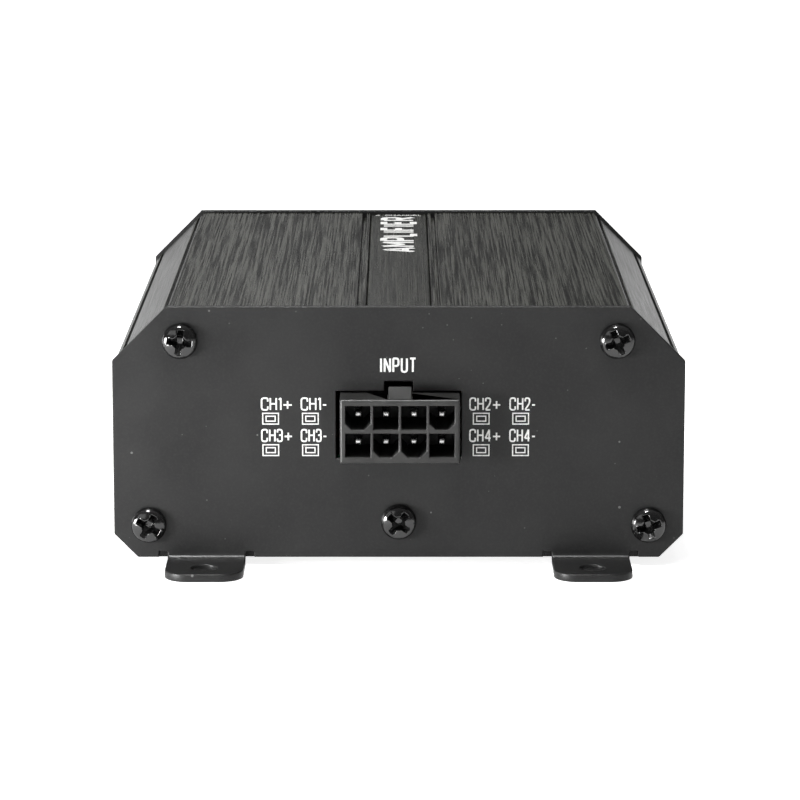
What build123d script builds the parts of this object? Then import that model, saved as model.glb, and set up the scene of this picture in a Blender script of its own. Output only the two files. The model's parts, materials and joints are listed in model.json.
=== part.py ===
from build123d import *
import math
import os

# Compact four-channel car amplifier, in millimetres.
# X runs across the end plates, +Y runs from the input end to the power end, +Z is up.
# The origin lies under the middle of the body, on the surface that the mounting tabs stand on.

# ---- Driving dimensions -------------------------------------------------------------------

PLATE_WIDTH = 86.4
PLATE_TOP = 39.8
PLATE_BOTTOM = 1.2
PLATE_THICK = 1.2
UPPER_CHAMFER = 8.3
LOWER_CHAMFER = 3.6
SHELL_LENGTH = 102.0
SHELL_INSET = 0.4
SHELL_DROP = 0.2
SHELL_WALL = 2.5

TAB_X = 29.2
TAB_WIDTH = 11.8
TAB_REACH = 11.3
TAB_CORNER = 3.5
TAB_HOLE_Y = 6.8
TAB_HOLE_R = 2.0
BEND_R = 0.7
RELIEF_WIDTH = 1.3
RELIEF_CORNER = 0.25

STRIP_WIDTH = 9.8
STRIP_THICK = 1.0
RIB_INNER = 5.0
RIB_OUTER = 5.65
CHANNEL_HALF = 6.3
CHANNEL_FLOOR = 38.2

UPPER_SCREW = (32.9, 34.6)
LOWER_SCREW = (37.9, 6.3)
MIDDLE_SCREW = (0.0, 6.8)
SCREW_R = 1.45
THREAD_R = 1.5
CLEARANCE_R = 1.7
HEAD_R = 2.7
HEAD_HEIGHT = 2.0
DOME_R = 2.3
SCREW_DEPTH = 9.0
CHANNEL_R = 2.8

PANEL_Z = 3.4
PANEL_THICK = 1.6
PANEL_HALF_WIDTH = 35.1
RUNNER_WIDTH = 5.0
GROOVE_CLEARANCE = 0.1
FILM_THICK = 0.4

BOARD_TOP = 16.6
BOARD_THICK = 1.6
BOARD_HALF_WIDTH = 39.9
BOARD_HALF_LENGTH = 50.4
RAIL_X = 34.9
RAIL_TOP = 19.4
BOARD_SCREW_X = 37.4
BOARD_SCREW_Y = 36.0
TAIL_BOTTOM = 12.6

PIN_PITCH = 4.2
PIN_SIZE = 1.07
HEADER_HEIGHT = 9.8
HEADER_DEPTH = 12.8
HEADER_PROUD = 5.4
HEADER_Z = 21.7
CELL_WIDTH = 3.8
CELL_HEIGHT = 3.65
CELL_DEPTH = 9.6
PIN_RECESS = 3.1
INPUT_X = 0.2
INPUT_COLUMNS = 4
POWER_COLUMNS = 6
POWER_X = -20.3
LATCH_WIDTH = 3.5
LATCH_RISE = 1.4
LATCH_LENGTH = 3.5

GAIN_X = (-2.4, 5.8)
GAIN_Z = 22.1
GAIN_SHAFT_R = 2.0
MODE_X = (12.6, 18.4)
MODE_TRAVEL = 2.0
BUTTON_X = 24.4
BUTTON_Z = 19.8
BUTTON_R = 1.7
BUTTON_TRAVEL = 0.4
FLANGE_BACK = 46.6
JACK_X = 31.0
JACK_Z = 19.8
JACK_BORE_R = 1.8
JACK_NOSE_R = 3.0
LIGHT_PIPE_Z = 27.5
LIGHT_PIPE_R = 1.5

BLOCK_X = -18.0
BLOCK_WIDTH = 16.0
BLOCK_FRONT = -38.0
BLOCK_BACK = 8.0
BLOCK_SCREW_Y = (-35.3, -15.0, 5.3)
ROOF_PAD_Z = 34.2
AMP_CHIP_Y = (-25.0, -5.0)
AMP_CHIP_HEIGHT = 3.5
PAD_THICK = 0.5
SIGNAL_CHIP_Y = -31.5

CHOKE_X = 20.0
CHOKE_Y = -12.0
CHOKE_Z = 24.1
CORE_INNER = 5.2
CORE_OUTER = 9.6
CORE_HALF = 3.9
WIRE = 1.1

# ---- Worked out from the driving dimensions -----------------------------------------------

HALF_PLATE = PLATE_WIDTH / 2
HALF_SHELL = SHELL_LENGTH / 2
PLATE_FACE = HALF_SHELL + PLATE_THICK
SHELL_TOP = PLATE_TOP - SHELL_INSET
SHELL_BOTTOM = PLATE_BOTTOM - SHELL_DROP
SHELL_SIDE = HALF_PLATE - SHELL_INSET
INNER_SIDE = SHELL_SIDE - SHELL_WALL
ROOF_Z = SHELL_TOP - 3.2
BOARD_BOTTOM = BOARD_TOP - BOARD_THICK
ROOT_HALF = math.sqrt(0.5)
# The chamfer face of the shell lies on x + z = CHAMFER_SUM.
CHAMFER_SUM = HALF_PLATE - UPPER_CHAMFER + PLATE_TOP - SHELL_INSET / ROOT_HALF
LOWER_SUM = HALF_PLATE - LOWER_CHAMFER - PLATE_BOTTOM - SHELL_INSET / ROOT_HALF


# ---- Small helpers ------------------------------------------------------------------------

def block(low, high):
    """A box between its lowest and its highest corner."""
    size = [b - a for a, b in zip(low, high)]
    centre = [(a + b) / 2 for a, b in zip(low, high)]
    return Pos(*centre) * Box(*size)


def bar_y(x, z, radius, y_from, y_to):
    """A round bar along Y."""
    return Pos(x, (y_from + y_to) / 2, z) * Rot(90, 0, 0) * Cylinder(radius, abs(y_to - y_from))


def bar_z(x, y, radius, z_from, z_to):
    """A round bar along Z."""
    return Pos(x, y, (z_from + z_to) / 2) * Cylinder(radius, abs(z_to - z_from))


def prism_y(face, y_from, y_to):
    """A face drawn in X and Z, carried along Y."""
    return Pos(0, max(y_from, y_to), 0) * extrude(Plane.XZ * face, abs(y_to - y_from))


def prism_x(face, x_from, x_to):
    """A face drawn in Y and Z, carried along X."""
    return Pos(min(x_from, x_to), 0, 0) * extrude(Plane.YZ * face, abs(x_to - x_from))


def outline(points):
    """A closed face through the points, which may run either way round."""
    following = points[1:] + points[:1]
    doubled_area = sum(a[0] * b[1] - b[0] * a[1] for a, b in zip(points, following))
    return Polygon(*(points if doubled_area > 0 else points[::-1]), align=None)


def both_sides(points):
    """A closed face from its right-hand half, mirrored in the Z axis."""
    left = [(-x, z) for x, z in reversed(points) if x > 0]
    return outline(points + left)


def sub_faces(face, pieces):
    """The face with each piece cut out of it."""
    for piece in pieces:
        face = face - piece
    return face


def write(name, shape):
    """One STEP file for one node."""
    pieces = shape if isinstance(shape, list) else [shape]
    solids = [solid for piece in pieces for solid in piece.solids()]
    export_step(Compound(children=solids), os.path.join("parts", name + ".step"))
    print(name, len(solids), "solids", round(sum(s.volume for s in solids), 1), "mm3")


# ---- Shell --------------------------------------------------------------------------------

def on_chamfer(along, depth=0.0):
    """A point on the shell's chamfer face, a distance along it from the top and a depth into it."""
    x = CHAMFER_SUM - SHELL_TOP + (along - depth) * ROOT_HALF
    z = SHELL_TOP - (along + depth) * ROOT_HALF
    return (x, z)


def shell_outline():
    """The outside of the extrusion: badge channel, brushed top, grooved chamfers, sides and feet."""
    groove = 0.6
    face_from, face_to = 1.3, 9.5
    lip_from = 10.35
    points = [
        (0.0, CHANNEL_FLOOR), (RIB_INNER, CHANNEL_FLOOR),
        (RIB_INNER, SHELL_TOP - 0.1), (RIB_OUTER, SHELL_TOP - 0.1),
        (RIB_OUTER, CHANNEL_FLOOR + 0.3), (CHANNEL_HALF, CHANNEL_FLOOR + 0.3),
        (CHANNEL_HALF, SHELL_TOP - 0.1), (CHANNEL_HALF + 0.1, SHELL_TOP),
        (CHAMFER_SUM - SHELL_TOP - 0.15, SHELL_TOP),
        on_chamfer(0.25), on_chamfer(0.25, groove),
        on_chamfer(face_from, groove), on_chamfer(face_from, 0.1), on_chamfer(face_from + 0.12),
        on_chamfer(face_to - 0.12), on_chamfer(face_to, 0.1), on_chamfer(face_to, groove),
        on_chamfer(lip_from, groove), on_chamfer(lip_from),
        (SHELL_SIDE - 0.1, CHAMFER_SUM - SHELL_SIDE + 0.1), (SHELL_SIDE, CHAMFER_SUM - SHELL_SIDE - 0.15),
        (SHELL_SIDE, SHELL_SIDE - LOWER_SUM), (LOWER_SUM + SHELL_BOTTOM, SHELL_BOTTOM),
        (0.0, SHELL_BOTTOM),
    ]
    return both_sides(points)


def heatsink_extrusion():
    """U-shaped aluminium profile with its screw channels, board rails and panel grooves."""
    inner_sum = CHAMFER_SUM - SHELL_WALL / ROOT_HALF
    foot_x = 33.4
    foot_top = 5.2
    cavity = both_sides([
        (0.0, ROOF_Z), (inner_sum - ROOF_Z, ROOF_Z), (INNER_SIDE, inner_sum - INNER_SIDE),
        (INNER_SIDE, foot_top), (foot_x, foot_top), (foot_x, 0.0), (0.0, 0.0),
    ])
    face = shell_outline() - cavity
    for side in (-1, 1):
        face += Pos(side * UPPER_SCREW[0], UPPER_SCREW[1]) * Circle(CHANNEL_R)
        face += Pos(side * LOWER_SCREW[0], LOWER_SCREW[1]) * Circle(CHANNEL_R)
        rail_width = INNER_SIDE + 0.5 - RAIL_X
        rail_centre = (side * (RAIL_X + rail_width / 2), (BOARD_TOP + RAIL_TOP) / 2)
        face += Pos(*rail_centre) * Rectangle(rail_width, RAIL_TOP - BOARD_TOP)
    pad_height = ROOF_Z + 0.2 - ROOF_PAD_Z
    face += Pos(BLOCK_X, ROOF_PAD_Z + pad_height / 2) * Rectangle(BLOCK_WIDTH + 2, pad_height)
    for side in (-1, 1):
        groove_width = 2 * (PANEL_HALF_WIDTH + GROOVE_CLEARANCE - foot_x)
        groove = Rectangle(groove_width, PANEL_THICK + 2 * GROOVE_CLEARANCE)
        face -= Pos(side * foot_x, PANEL_Z) * groove
        face -= Pos(side * UPPER_SCREW[0], UPPER_SCREW[1]) * Circle(THREAD_R)
        face -= Pos(side * LOWER_SCREW[0], LOWER_SCREW[1]) * Circle(THREAD_R)
    body = prism_y(face, -HALF_SHELL, HALF_SHELL)
    for x in (-BOARD_SCREW_X, BOARD_SCREW_X):
        for y in (-BOARD_SCREW_Y, BOARD_SCREW_Y):
            body -= bar_z(x, y, THREAD_R, BOARD_TOP - 1, RAIL_TOP + 1)
    for y in BLOCK_SCREW_Y:
        body -= bar_z(BLOCK_X, y, THREAD_R, ROOF_PAD_Z - 1, ROOF_Z + 1.2)
    return body


def badge_strip():
    """Flat brushed inlay that lies in the channel, with softened long edges."""
    half = STRIP_WIDTH / 2
    top = CHANNEL_FLOOR + STRIP_THICK
    face = both_sides([
        (0.0, top), (half - 0.2, top), (half, top - 0.2), (half, CHANNEL_FLOOR), (0.0, CHANNEL_FLOOR),
    ])
    return prism_y(face, -HALF_SHELL + 0.1, HALF_SHELL - 0.1)


def bottom_panel():
    """Flat panel in the extrusion's grooves, with the middle screw channel and two runners below."""
    face = Pos(0, PANEL_Z) * Rectangle(2 * PANEL_HALF_WIDTH, PANEL_THICK)
    runner_x = TAB_X - TAB_WIDTH / 2
    for side in (-1, 1):
        runner = Rectangle(RUNNER_WIDTH, PANEL_Z - SHELL_BOTTOM)
        face += Pos(side * runner_x, (PANEL_Z + SHELL_BOTTOM) / 2) * runner
    web_top = MIDDLE_SCREW[1] - THREAD_R + 0.9
    face += Pos(MIDDLE_SCREW[0], (PANEL_Z + web_top) / 2) * Rectangle(3.4, web_top - PANEL_Z)
    face += Pos(*MIDDLE_SCREW) * Circle(CHANNEL_R)
    face -= Pos(*MIDDLE_SCREW) * Circle(THREAD_R)
    return prism_y(face, -HALF_SHELL, HALF_SHELL)


def insulating_film():
    """Two strips on the bottom panel, one each side of the screw channel."""
    low = PANEL_Z + PANEL_THICK / 2
    inner, outer, half_length = 3.4, 32.6, 48.0
    strips = []
    for near, far in ((inner, outer), (-outer, -inner)):
        strips.append(block((near, -half_length, low), (far, half_length, low + FILM_THICK)))
    return strips


# ---- End plates ---------------------------------------------------------------------------

def plate_outline():
    """The eight-sided outline of an end plate."""
    face = both_sides([
        (0.0, PLATE_TOP), (HALF_PLATE - UPPER_CHAMFER, PLATE_TOP),
        (HALF_PLATE, PLATE_TOP - UPPER_CHAMFER), (HALF_PLATE, PLATE_BOTTOM + LOWER_CHAMFER),
        (HALF_PLATE - LOWER_CHAMFER, PLATE_BOTTOM), (0.0, PLATE_BOTTOM),
    ])
    return fillet(face.vertices(), 0.4)


def mounting_tab(x):
    """A flat foot with its quarter bend, for the plate at +Y."""
    bend_y = PLATE_FACE + BEND_R
    bend_z = PLATE_BOTTOM + BEND_R
    ring = Pos(bend_y, bend_z) * (Circle(BEND_R + PLATE_THICK) - Circle(BEND_R))
    quarter = Pos(bend_y - 2, bend_z - 2) * Rectangle(4, 4)
    bend = prism_x(ring & quarter, x - TAB_WIDTH / 2, x + TAB_WIDTH / 2)
    length = TAB_REACH - BEND_R
    tab = block((x - TAB_WIDTH / 2, bend_y, 0), (x + TAB_WIDTH / 2, bend_y + length, PLATE_THICK))
    ends = tab.edges().filter_by(Axis.Z).group_by(Axis.Y)[-1]
    tab = fillet(ends, TAB_CORNER)
    hole = bar_z(x, PLATE_FACE + TAB_HOLE_Y, TAB_HOLE_R, -1, PLATE_THICK + 1)
    return bend + tab - hole


def end_plate(openings):
    """Sheet plate at +Y with its tabs and bend reliefs, and the openings cut through it."""
    face = plate_outline()
    relief_top = PLATE_BOTTOM + BEND_R + RELIEF_CORNER
    relief_height = 2 * BEND_R + RELIEF_CORNER
    relief = RectangleRounded(RELIEF_WIDTH, relief_height, RELIEF_CORNER)
    for x in (-TAB_X, TAB_X):
        face -= Pos(x, PLATE_BOTTOM) * Rectangle(TAB_WIDTH, 2 * BEND_R)
        for side in (-1, 1):
            relief_x = x + side * (TAB_WIDTH + RELIEF_WIDTH) / 2
            face -= Pos(relief_x, relief_top - relief_height / 2) * relief
    for x, z in plate_screw_places():
        face -= Pos(x, z) * Circle(CLEARANCE_R)
    face = sub_faces(face, openings)
    plate = prism_y(face, HALF_SHELL, PLATE_FACE)
    for x in (-TAB_X, TAB_X):
        plate += mounting_tab(x)
    return plate


def header_opening(x, columns):
    """The cut-out that a header stands in, with the notch over its latch ramp."""
    width = header_width(columns) + 0.9
    height = HEADER_HEIGHT + 0.6
    face = Pos(x, HEADER_Z) * Rectangle(width, height)
    notch = Rectangle(LATCH_WIDTH + 0.8, 2 * LATCH_RISE + 0.2)
    return face + Pos(x, HEADER_Z + height / 2) * notch


def front_end_plate():
    """The input end, at -Y."""
    return Rot(0, 0, 180) * end_plate([header_opening(0.0, INPUT_COLUMNS)])


def rear_end_plate():
    """The power end, at +Y, with its controls."""
    openings = [header_opening(POWER_X, POWER_COLUMNS)]
    for x in GAIN_X:
        openings.append(Pos(x, GAIN_Z) * Circle(GAIN_SHAFT_R + 0.5))
    for x in MODE_X:
        openings.append(Pos(x, mode_slot_z()) * Rectangle(2.6, MODE_TRAVEL + 2.8))
    openings.append(Pos(BUTTON_X, BUTTON_Z) * Circle(BUTTON_R + 0.4))
    openings.append(Pos(JACK_X, JACK_Z) * Circle(JACK_NOSE_R + 0.15))
    openings.append(Pos(BUTTON_X, LIGHT_PIPE_Z) * Circle(LIGHT_PIPE_R + 0.1))
    return end_plate(openings)


# ---- Screws -------------------------------------------------------------------------------

def plate_screw_places():
    """The X and Z of the five screws of an end plate."""
    places = [MIDDLE_SCREW]
    for side in (-1, 1):
        places.append((side * UPPER_SCREW[0], UPPER_SCREW[1]))
        places.append((side * LOWER_SCREW[0], LOWER_SCREW[1]))
    return places


def pan_screw(length):
    """A pan-head cross-recess screw, its head above Z = 0 and its shank below."""
    rim, dome_edge = 0.5, 1.4
    profile = make_face([
        Line((0, -length), (SCREW_R - 0.4, -length)),
        Line((SCREW_R - 0.4, -length), (SCREW_R, -length + 0.6)),
        Line((SCREW_R, -length + 0.6), (SCREW_R, 0)),
        Line((SCREW_R, 0), (HEAD_R - 0.1, 0)),
        Line((HEAD_R - 0.1, 0), (HEAD_R, 0.1)),
        Line((HEAD_R, 0.1), (HEAD_R, rim)),
        ThreePointArc((HEAD_R, rim), (2.6, 1.0), (DOME_R, dome_edge)),
        ThreePointArc((DOME_R, dome_edge), (1.2, 1.85), (0, HEAD_HEIGHT)),
        Line((0, HEAD_HEIGHT), (0, -length)),
    ])
    screw = revolve(Plane.XZ * profile, Axis.Z)
    wing_thick, foot, mouth = 0.95, -0.1, 2.3
    wing = outline([(-2.55, mouth), (2.55, mouth), (0.45, foot), (-0.45, foot)])
    for turn in (0, 90):
        screw -= Rot(0, 0, turn) * Pos(0, wing_thick / 2, 0) * extrude(Plane.XZ * wing, wing_thick)
    return screw - Pos(0, 0, (foot + mouth) / 2) * Cone(0.4, 1.15, mouth - foot)


def plate_screws(side):
    """The five screws of the end plate on one side; each recess stands at its own angle."""
    screws = []
    angles = (51, 83, 61, 22, 16)
    for (x, z), angle in zip(plate_screw_places(), angles):
        screw = Rot(-90 * side, 0, 0) * Rot(0, 0, angle) * pan_screw(SCREW_DEPTH)
        screws.append(Pos(x, side * PLATE_FACE, z) * screw)
    return screws


def board_screws():
    """Four screws up through the board into the rails."""
    screws = []
    for x in (-BOARD_SCREW_X, BOARD_SCREW_X):
        for y in (-BOARD_SCREW_Y, BOARD_SCREW_Y):
            screws.append(Pos(x, y, BOARD_BOTTOM) * Rot(180, 0, 0) * pan_screw(4.2))
    return screws


def heat_block_screws():
    """Three screws up through the heat block into the roof pad."""
    head_z = AMP_CHIP_HEIGHT + BOARD_TOP + PAD_THICK + 3.2
    screws = []
    for y in BLOCK_SCREW_Y:
        screws.append(Pos(BLOCK_X, y, head_z) * Rot(180, 0, 0) * pan_screw(ROOF_PAD_Z + 2.8 - head_z))
    return screws


# ---- Headers ------------------------------------------------------------------------------

def header_width(columns):
    """Outside width of a two-row header."""
    return (columns - 1) * PIN_PITCH + 5.4


def header_columns(x, columns):
    """X of each column of a header."""
    return [x + (i - (columns - 1) / 2) * PIN_PITCH for i in range(columns)]


def header_cell(x, z, cornered):
    """The mouth of one contact cell; a cornered one has its two lower corners cut off."""
    half, top, low = CELL_WIDTH / 2, z + CELL_HEIGHT / 2, z - CELL_HEIGHT / 2
    cut = 0.95 if cornered else 0.0
    points = [(x - half, top), (x + half, top), (x + half, low + cut)]
    if cornered:
        points += [(x + half - cut, low), (x - half + cut, low)]
    else:
        points += [(x + half, low)]
    points += [(x - half, low + cut)]
    return outline(points)


def header_housing(x, columns):
    """A right-angle two-row header at +Y: housing, cells, latch ramp and feet."""
    mouth = PLATE_FACE + HEADER_PROUD
    back = mouth - HEADER_DEPTH
    low, high = HEADER_Z - HEADER_HEIGHT / 2, HEADER_Z + HEADER_HEIGHT / 2
    half = header_width(columns) / 2
    body = block((x - half, back, low), (x + half, mouth, high))
    mouth_edges = body.faces().sort_by(Axis.Y)[-1].edges()
    body = chamfer(mouth_edges, 0.25)
    for row, z in enumerate((HEADER_Z + PIN_PITCH / 2, HEADER_Z - PIN_PITCH / 2)):
        for column, cell_x in enumerate(header_columns(x, columns)):
            outer = (column % 3) == 0
            cell = header_cell(cell_x, z, outer if row == 0 else not outer)
            body -= prism_y(cell, mouth - CELL_DEPTH, mouth + 1)
            size = PIN_SIZE / 2
            body -= block((cell_x - size, back - 1, z - size), (cell_x + size, mouth, z + size))
    ramp = outline([
        (mouth - 0.3, high - 0.2), (mouth - 0.3, high + 0.1), (mouth - LATCH_LENGTH, high + LATCH_RISE),
        (mouth - LATCH_LENGTH, high - 0.2),
    ])
    body += prism_x(ramp, x - LATCH_WIDTH / 2, x + LATCH_WIDTH / 2)
    for side in (-1, 1):
        foot_x = x + side * (half - 1.2)
        body += block((foot_x - 1.0, back, BOARD_TOP), (foot_x + 1.0, HALF_SHELL - 1.6, low + 0.2))
    return body


def header_pin_rows():
    """For each row of a header: its height, and the Y where its pins turn down."""
    back = PLATE_FACE + HEADER_PROUD - HEADER_DEPTH
    return [(HEADER_Z + PIN_PITCH / 2, back - 7.3), (HEADER_Z - PIN_PITCH / 2, back - 1.8)]


def header_pins(x, columns):
    """Square pins at +Y that run back out of the housing and turn down through the board."""
    tip = PLATE_FACE + HEADER_PROUD - PIN_RECESS
    half = PIN_SIZE / 2
    taper = 0.16
    pins = []
    for z, turn_y in header_pin_rows():
        side_view = outline([
            (tip, z - half + taper), (tip, z + half - taper), (tip - 0.7, z + half),
            (turn_y - half + 0.5, z + half), (turn_y - half, z + half - 0.5),
            (turn_y - half, TAIL_BOTTOM), (turn_y + half, TAIL_BOTTOM), (turn_y + half, z - half),
            (tip - 0.7, z - half),
        ])
        for pin_x in header_columns(x, columns):
            pin = prism_x(side_view, pin_x - half, pin_x + half)
            tip_edges = pin.faces().sort_by(Axis.Y)[-1].edges().filter_by(Axis.Z)
            pins.append(chamfer(tip_edges, taper, taper + 0.2) if tip_edges else pin)
    return pins


# ---- Controls on the power end ------------------------------------------------------------

def mode_slot_z():
    """Middle height of the slot that a mode slider runs in."""
    return BOARD_TOP + 5.4


def gain_control_bodies():
    """Two small right-angle potentiometers: a square case and a round front bush."""
    bodies = []
    for x in GAIN_X:
        body = block((x - 3.5, 41.0, BOARD_TOP), (x + 3.5, 48.6, GAIN_Z + 3.7))
        body = fillet(body.edges().filter_by(Axis.Y), 0.5)
        body += bar_y(x, GAIN_Z, 3.0, 48.0, 49.8)
        body -= bar_y(x, GAIN_Z, GAIN_SHAFT_R + 0.05, 43.0, 50.0)
        bodies.append(body)
    return bodies


def gain_shaft(x):
    """Slotted shaft with a flat-bottomed screwdriver slot at its end."""
    end = PLATE_FACE + 1.0
    shaft = bar_y(x, GAIN_Z, GAIN_SHAFT_R, 43.4, end)
    shaft = chamfer(shaft.edges().sort_by(Axis.Y)[-1], 0.25)
    return shaft - block((x - 0.4, end - 1.1, GAIN_Z - 3), (x + 0.4, end + 1, GAIN_Z + 3))


def mode_switch_bodies():
    """Two slide switches whose sliders move up and down."""
    bodies = []
    z = mode_slot_z()
    for x in MODE_X:
        body = block((x - 2.3, 45.2, BOARD_TOP), (x + 2.3, 50.2, BOARD_TOP + 10.4))
        body = fillet(body.edges().filter_by(Axis.Y), 0.3)
        body -= block((x - 1.75, 46.4, z - 3.4), (x + 1.75, 49.2, z + 3.4))
        body -= block((x - 1.2, 49.0, z - 2.3), (x + 1.2, 51.0, z + 2.3))
        bodies.append(body)
    return bodies


def mode_slider(x):
    """The slider at the low end of its travel, with three grip ridges on its face."""
    z = mode_slot_z() - MODE_TRAVEL / 2
    end = PLATE_FACE + 1.2
    carriage = block((x - 1.4, 46.8, z - 1.9), (x + 1.4, 48.8, z + 1.9))
    stem = block((x - 0.9, 48.8, z - 1.0), (x + 0.9, end, z + 1.0))
    for step in (-1, 0, 1):
        groove_z = z + step * 0.55
        stem -= block((x - 1, end - 0.25, groove_z - 0.12), (x + 1, end + 1, groove_z + 0.12))
    return carriage + stem


def setup_switch_body():
    """Right-angle push switch: a square case with a bored front bush."""
    x, z = BUTTON_X, BUTTON_Z
    body = block((x - 3.0, 44.6, BOARD_TOP), (x + 3.0, 49.4, BOARD_TOP + 6.4))
    body = fillet(body.edges().filter_by(Axis.Y), 0.4)
    body += bar_y(x, z, 2.5, 49.0, 50.4)
    body -= bar_y(x, z, BUTTON_R + 0.05, 47.0, 51.0)
    return body - bar_y(x, z, 2.4, FLANGE_BACK - BUTTON_TRAVEL - 0.6, FLANGE_BACK + 1.6)


def setup_button():
    """Round button with the flange that keeps it in the switch."""
    x, z = BUTTON_X, BUTTON_Z
    end = PLATE_FACE + 1.2
    cap = bar_y(x, z, BUTTON_R, FLANGE_BACK + 0.2, end)
    cap = fillet(cap.edges().sort_by(Axis.Y)[-1], 0.35)
    return cap + bar_y(x, z, 2.0, FLANGE_BACK, FLANGE_BACK + 1.0)


def microphone_jack():
    """Panel jack: case on the board, threaded nose through the plate, and the plug's bore."""
    x, z = JACK_X, JACK_Z
    body = block((x - 3.2, 36.6, BOARD_TOP), (x + 3.2, 50.8, BOARD_TOP + 6.4))
    body = fillet(body.edges().filter_by(Axis.Y), 0.4)
    nose = bar_y(x, z, JACK_NOSE_R, 50.6, PLATE_FACE + 2.2)
    nose = chamfer(nose.edges().sort_by(Axis.Y)[-1], 0.3)
    return body + nose - bar_y(x, z, JACK_BORE_R, PLATE_FACE + 3 - 16.0, PLATE_FACE + 3)


def microphone_jack_nut():
    """Round nut with two spanner notches."""
    nut = bar_y(JACK_X, JACK_Z, 4.0, PLATE_FACE, PLATE_FACE + 1.6)
    nut = chamfer(nut.edges().sort_by(Axis.Y)[-1], 0.3)
    nut -= bar_y(JACK_X, JACK_Z, JACK_NOSE_R, PLATE_FACE - 1, PLATE_FACE + 3)
    for side in (-1, 1):
        x = JACK_X + side * 3.8
        nut -= block((x - 0.6, PLATE_FACE + 0.8, JACK_Z - 0.5), (x + 0.6, PLATE_FACE + 2, JACK_Z + 0.5))
    return nut


def status_led():
    """A chip light on the board, under the foot of its light pipe."""
    x = BUTTON_X
    base = block((x - 1.6, 40.7, BOARD_TOP), (x + 1.6, 42.3, BOARD_TOP + 0.6))
    return base + block((x - 1.0, 40.8, BOARD_TOP + 0.6), (x + 1.0, 42.2, BOARD_TOP + 1.1))


def led_light_pipe():
    """Clear rod: up from the light, then out through the plate."""
    x, y = BUTTON_X, 41.5
    path = FilletPolyline(
        (x, y, BOARD_TOP + 1.3), (x, y, LIGHT_PIPE_Z), (x, PLATE_FACE + 0.8, LIGHT_PIPE_Z), radius=3.0,
    )
    start = Plane(origin=(x, y, BOARD_TOP + 1.3), z_dir=(0, 0, 1))
    return sweep(start * Circle(LIGHT_PIPE_R), path)


# ---- Board and what stands on it ----------------------------------------------------------

def supply_capacitor_places():
    """X and Y of the four supply capacitors."""
    return [(x, y) for x in (10.6, 24.8) for y in (12.0, 26.2)]


def main_circuit_board():
    """Board with its screw holes and the holes of every lead that goes through it."""
    board = block((-BOARD_HALF_WIDTH, -BOARD_HALF_LENGTH, BOARD_BOTTOM),
                  (BOARD_HALF_WIDTH, BOARD_HALF_LENGTH, BOARD_TOP))
    holes = [(x, y, CLEARANCE_R) for x in (-BOARD_SCREW_X, BOARD_SCREW_X)
             for y in (-BOARD_SCREW_Y, BOARD_SCREW_Y)]
    for _, turn_y in header_pin_rows():
        holes += [(x, -turn_y, 0.9) for x in header_columns(INPUT_X, INPUT_COLUMNS)]
        holes += [(x, turn_y, 0.9) for x in header_columns(POWER_X, POWER_COLUMNS)]
    for x, y in supply_capacitor_places():
        holes += [(x - 2.5, y, 0.6), (x + 2.5, y, 0.6)]
    return board - [bar_z(x, y, radius, BOARD_BOTTOM - 1, BOARD_TOP + 1) for x, y, radius in holes]


def flat_chip(x, y, width, depth, height, pins_x=0, pins_y=0, pitch=1.0):
    """A moulded chip with its leads; pins_x leads stand along each X side, pins_y along each Y side."""
    stand, lead, reach = 0.15, pitch * 0.45, 0.9
    top = BOARD_TOP + height
    body = block((x - width / 2, y - depth / 2, BOARD_TOP + stand), (x + width / 2, y + depth / 2, top))
    body = chamfer(body.faces().sort_by(Axis.Z)[-1].edges(), 0.2)
    lead_top = BOARD_TOP + height * 0.45
    leads = []
    for side in (-1, 1):
        for i in range(pins_y):
            at = x + (i - (pins_y - 1) / 2) * pitch
            near, far = y + side * depth / 2, y + side * (depth / 2 + reach)
            leads.append(gull_lead((at, near), (at, far), lead, lead_top))
        for i in range(pins_x):
            at = y + (i - (pins_x - 1) / 2) * pitch
            near, far = x + side * width / 2, x + side * (width / 2 + reach)
            leads.append(gull_lead((near, at), (far, at), lead, lead_top))
    return body + leads if leads else body


def gull_lead(near, far, width, top):
    """One lead: out of the chip's side, and down to the board."""
    along_x = abs(far[0] - near[0]) > abs(far[1] - near[1])
    grow = (0.0, width / 2) if along_x else (width / 2, 0.0)
    low_x, high_x = sorted((near[0], far[0]))
    low_y, high_y = sorted((near[1], far[1]))
    low = (low_x - grow[0], low_y - grow[1], BOARD_TOP)
    high = (high_x + grow[0], high_y + grow[1], top)
    return block(low, high)


def amplifier_chips():
    """Two power chips, each for two bridged channels, cooled through their tops."""
    return [flat_chip(BLOCK_X, y, 11.0, 15.9, AMP_CHIP_HEIGHT, pins_x=18, pitch=0.8) for y in AMP_CHIP_Y]


def thermal_pads():
    """Soft pads between the power chips and the heat block."""
    low = BOARD_TOP + AMP_CHIP_HEIGHT
    return [block((BLOCK_X - 5, y - 7, low), (BLOCK_X + 5, y + 7, low + PAD_THICK)) for y in AMP_CHIP_Y]


def heat_transfer_block():
    """Aluminium block that carries the chips' heat into the roof, with its screws sunk from below."""
    low = BOARD_TOP + AMP_CHIP_HEIGHT + PAD_THICK
    body = block((BLOCK_X - BLOCK_WIDTH / 2, BLOCK_FRONT, low),
                 (BLOCK_X + BLOCK_WIDTH / 2, BLOCK_BACK, ROOF_PAD_Z))
    body = chamfer(body.edges().filter_by(Axis.Z), 0.6)
    for y in BLOCK_SCREW_Y:
        body -= bar_z(BLOCK_X, y, CLEARANCE_R, low - 1, ROOF_PAD_Z + 1)
        body -= bar_z(BLOCK_X, y, 3.2, low - 1, low + 3.2)
    return body


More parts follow.
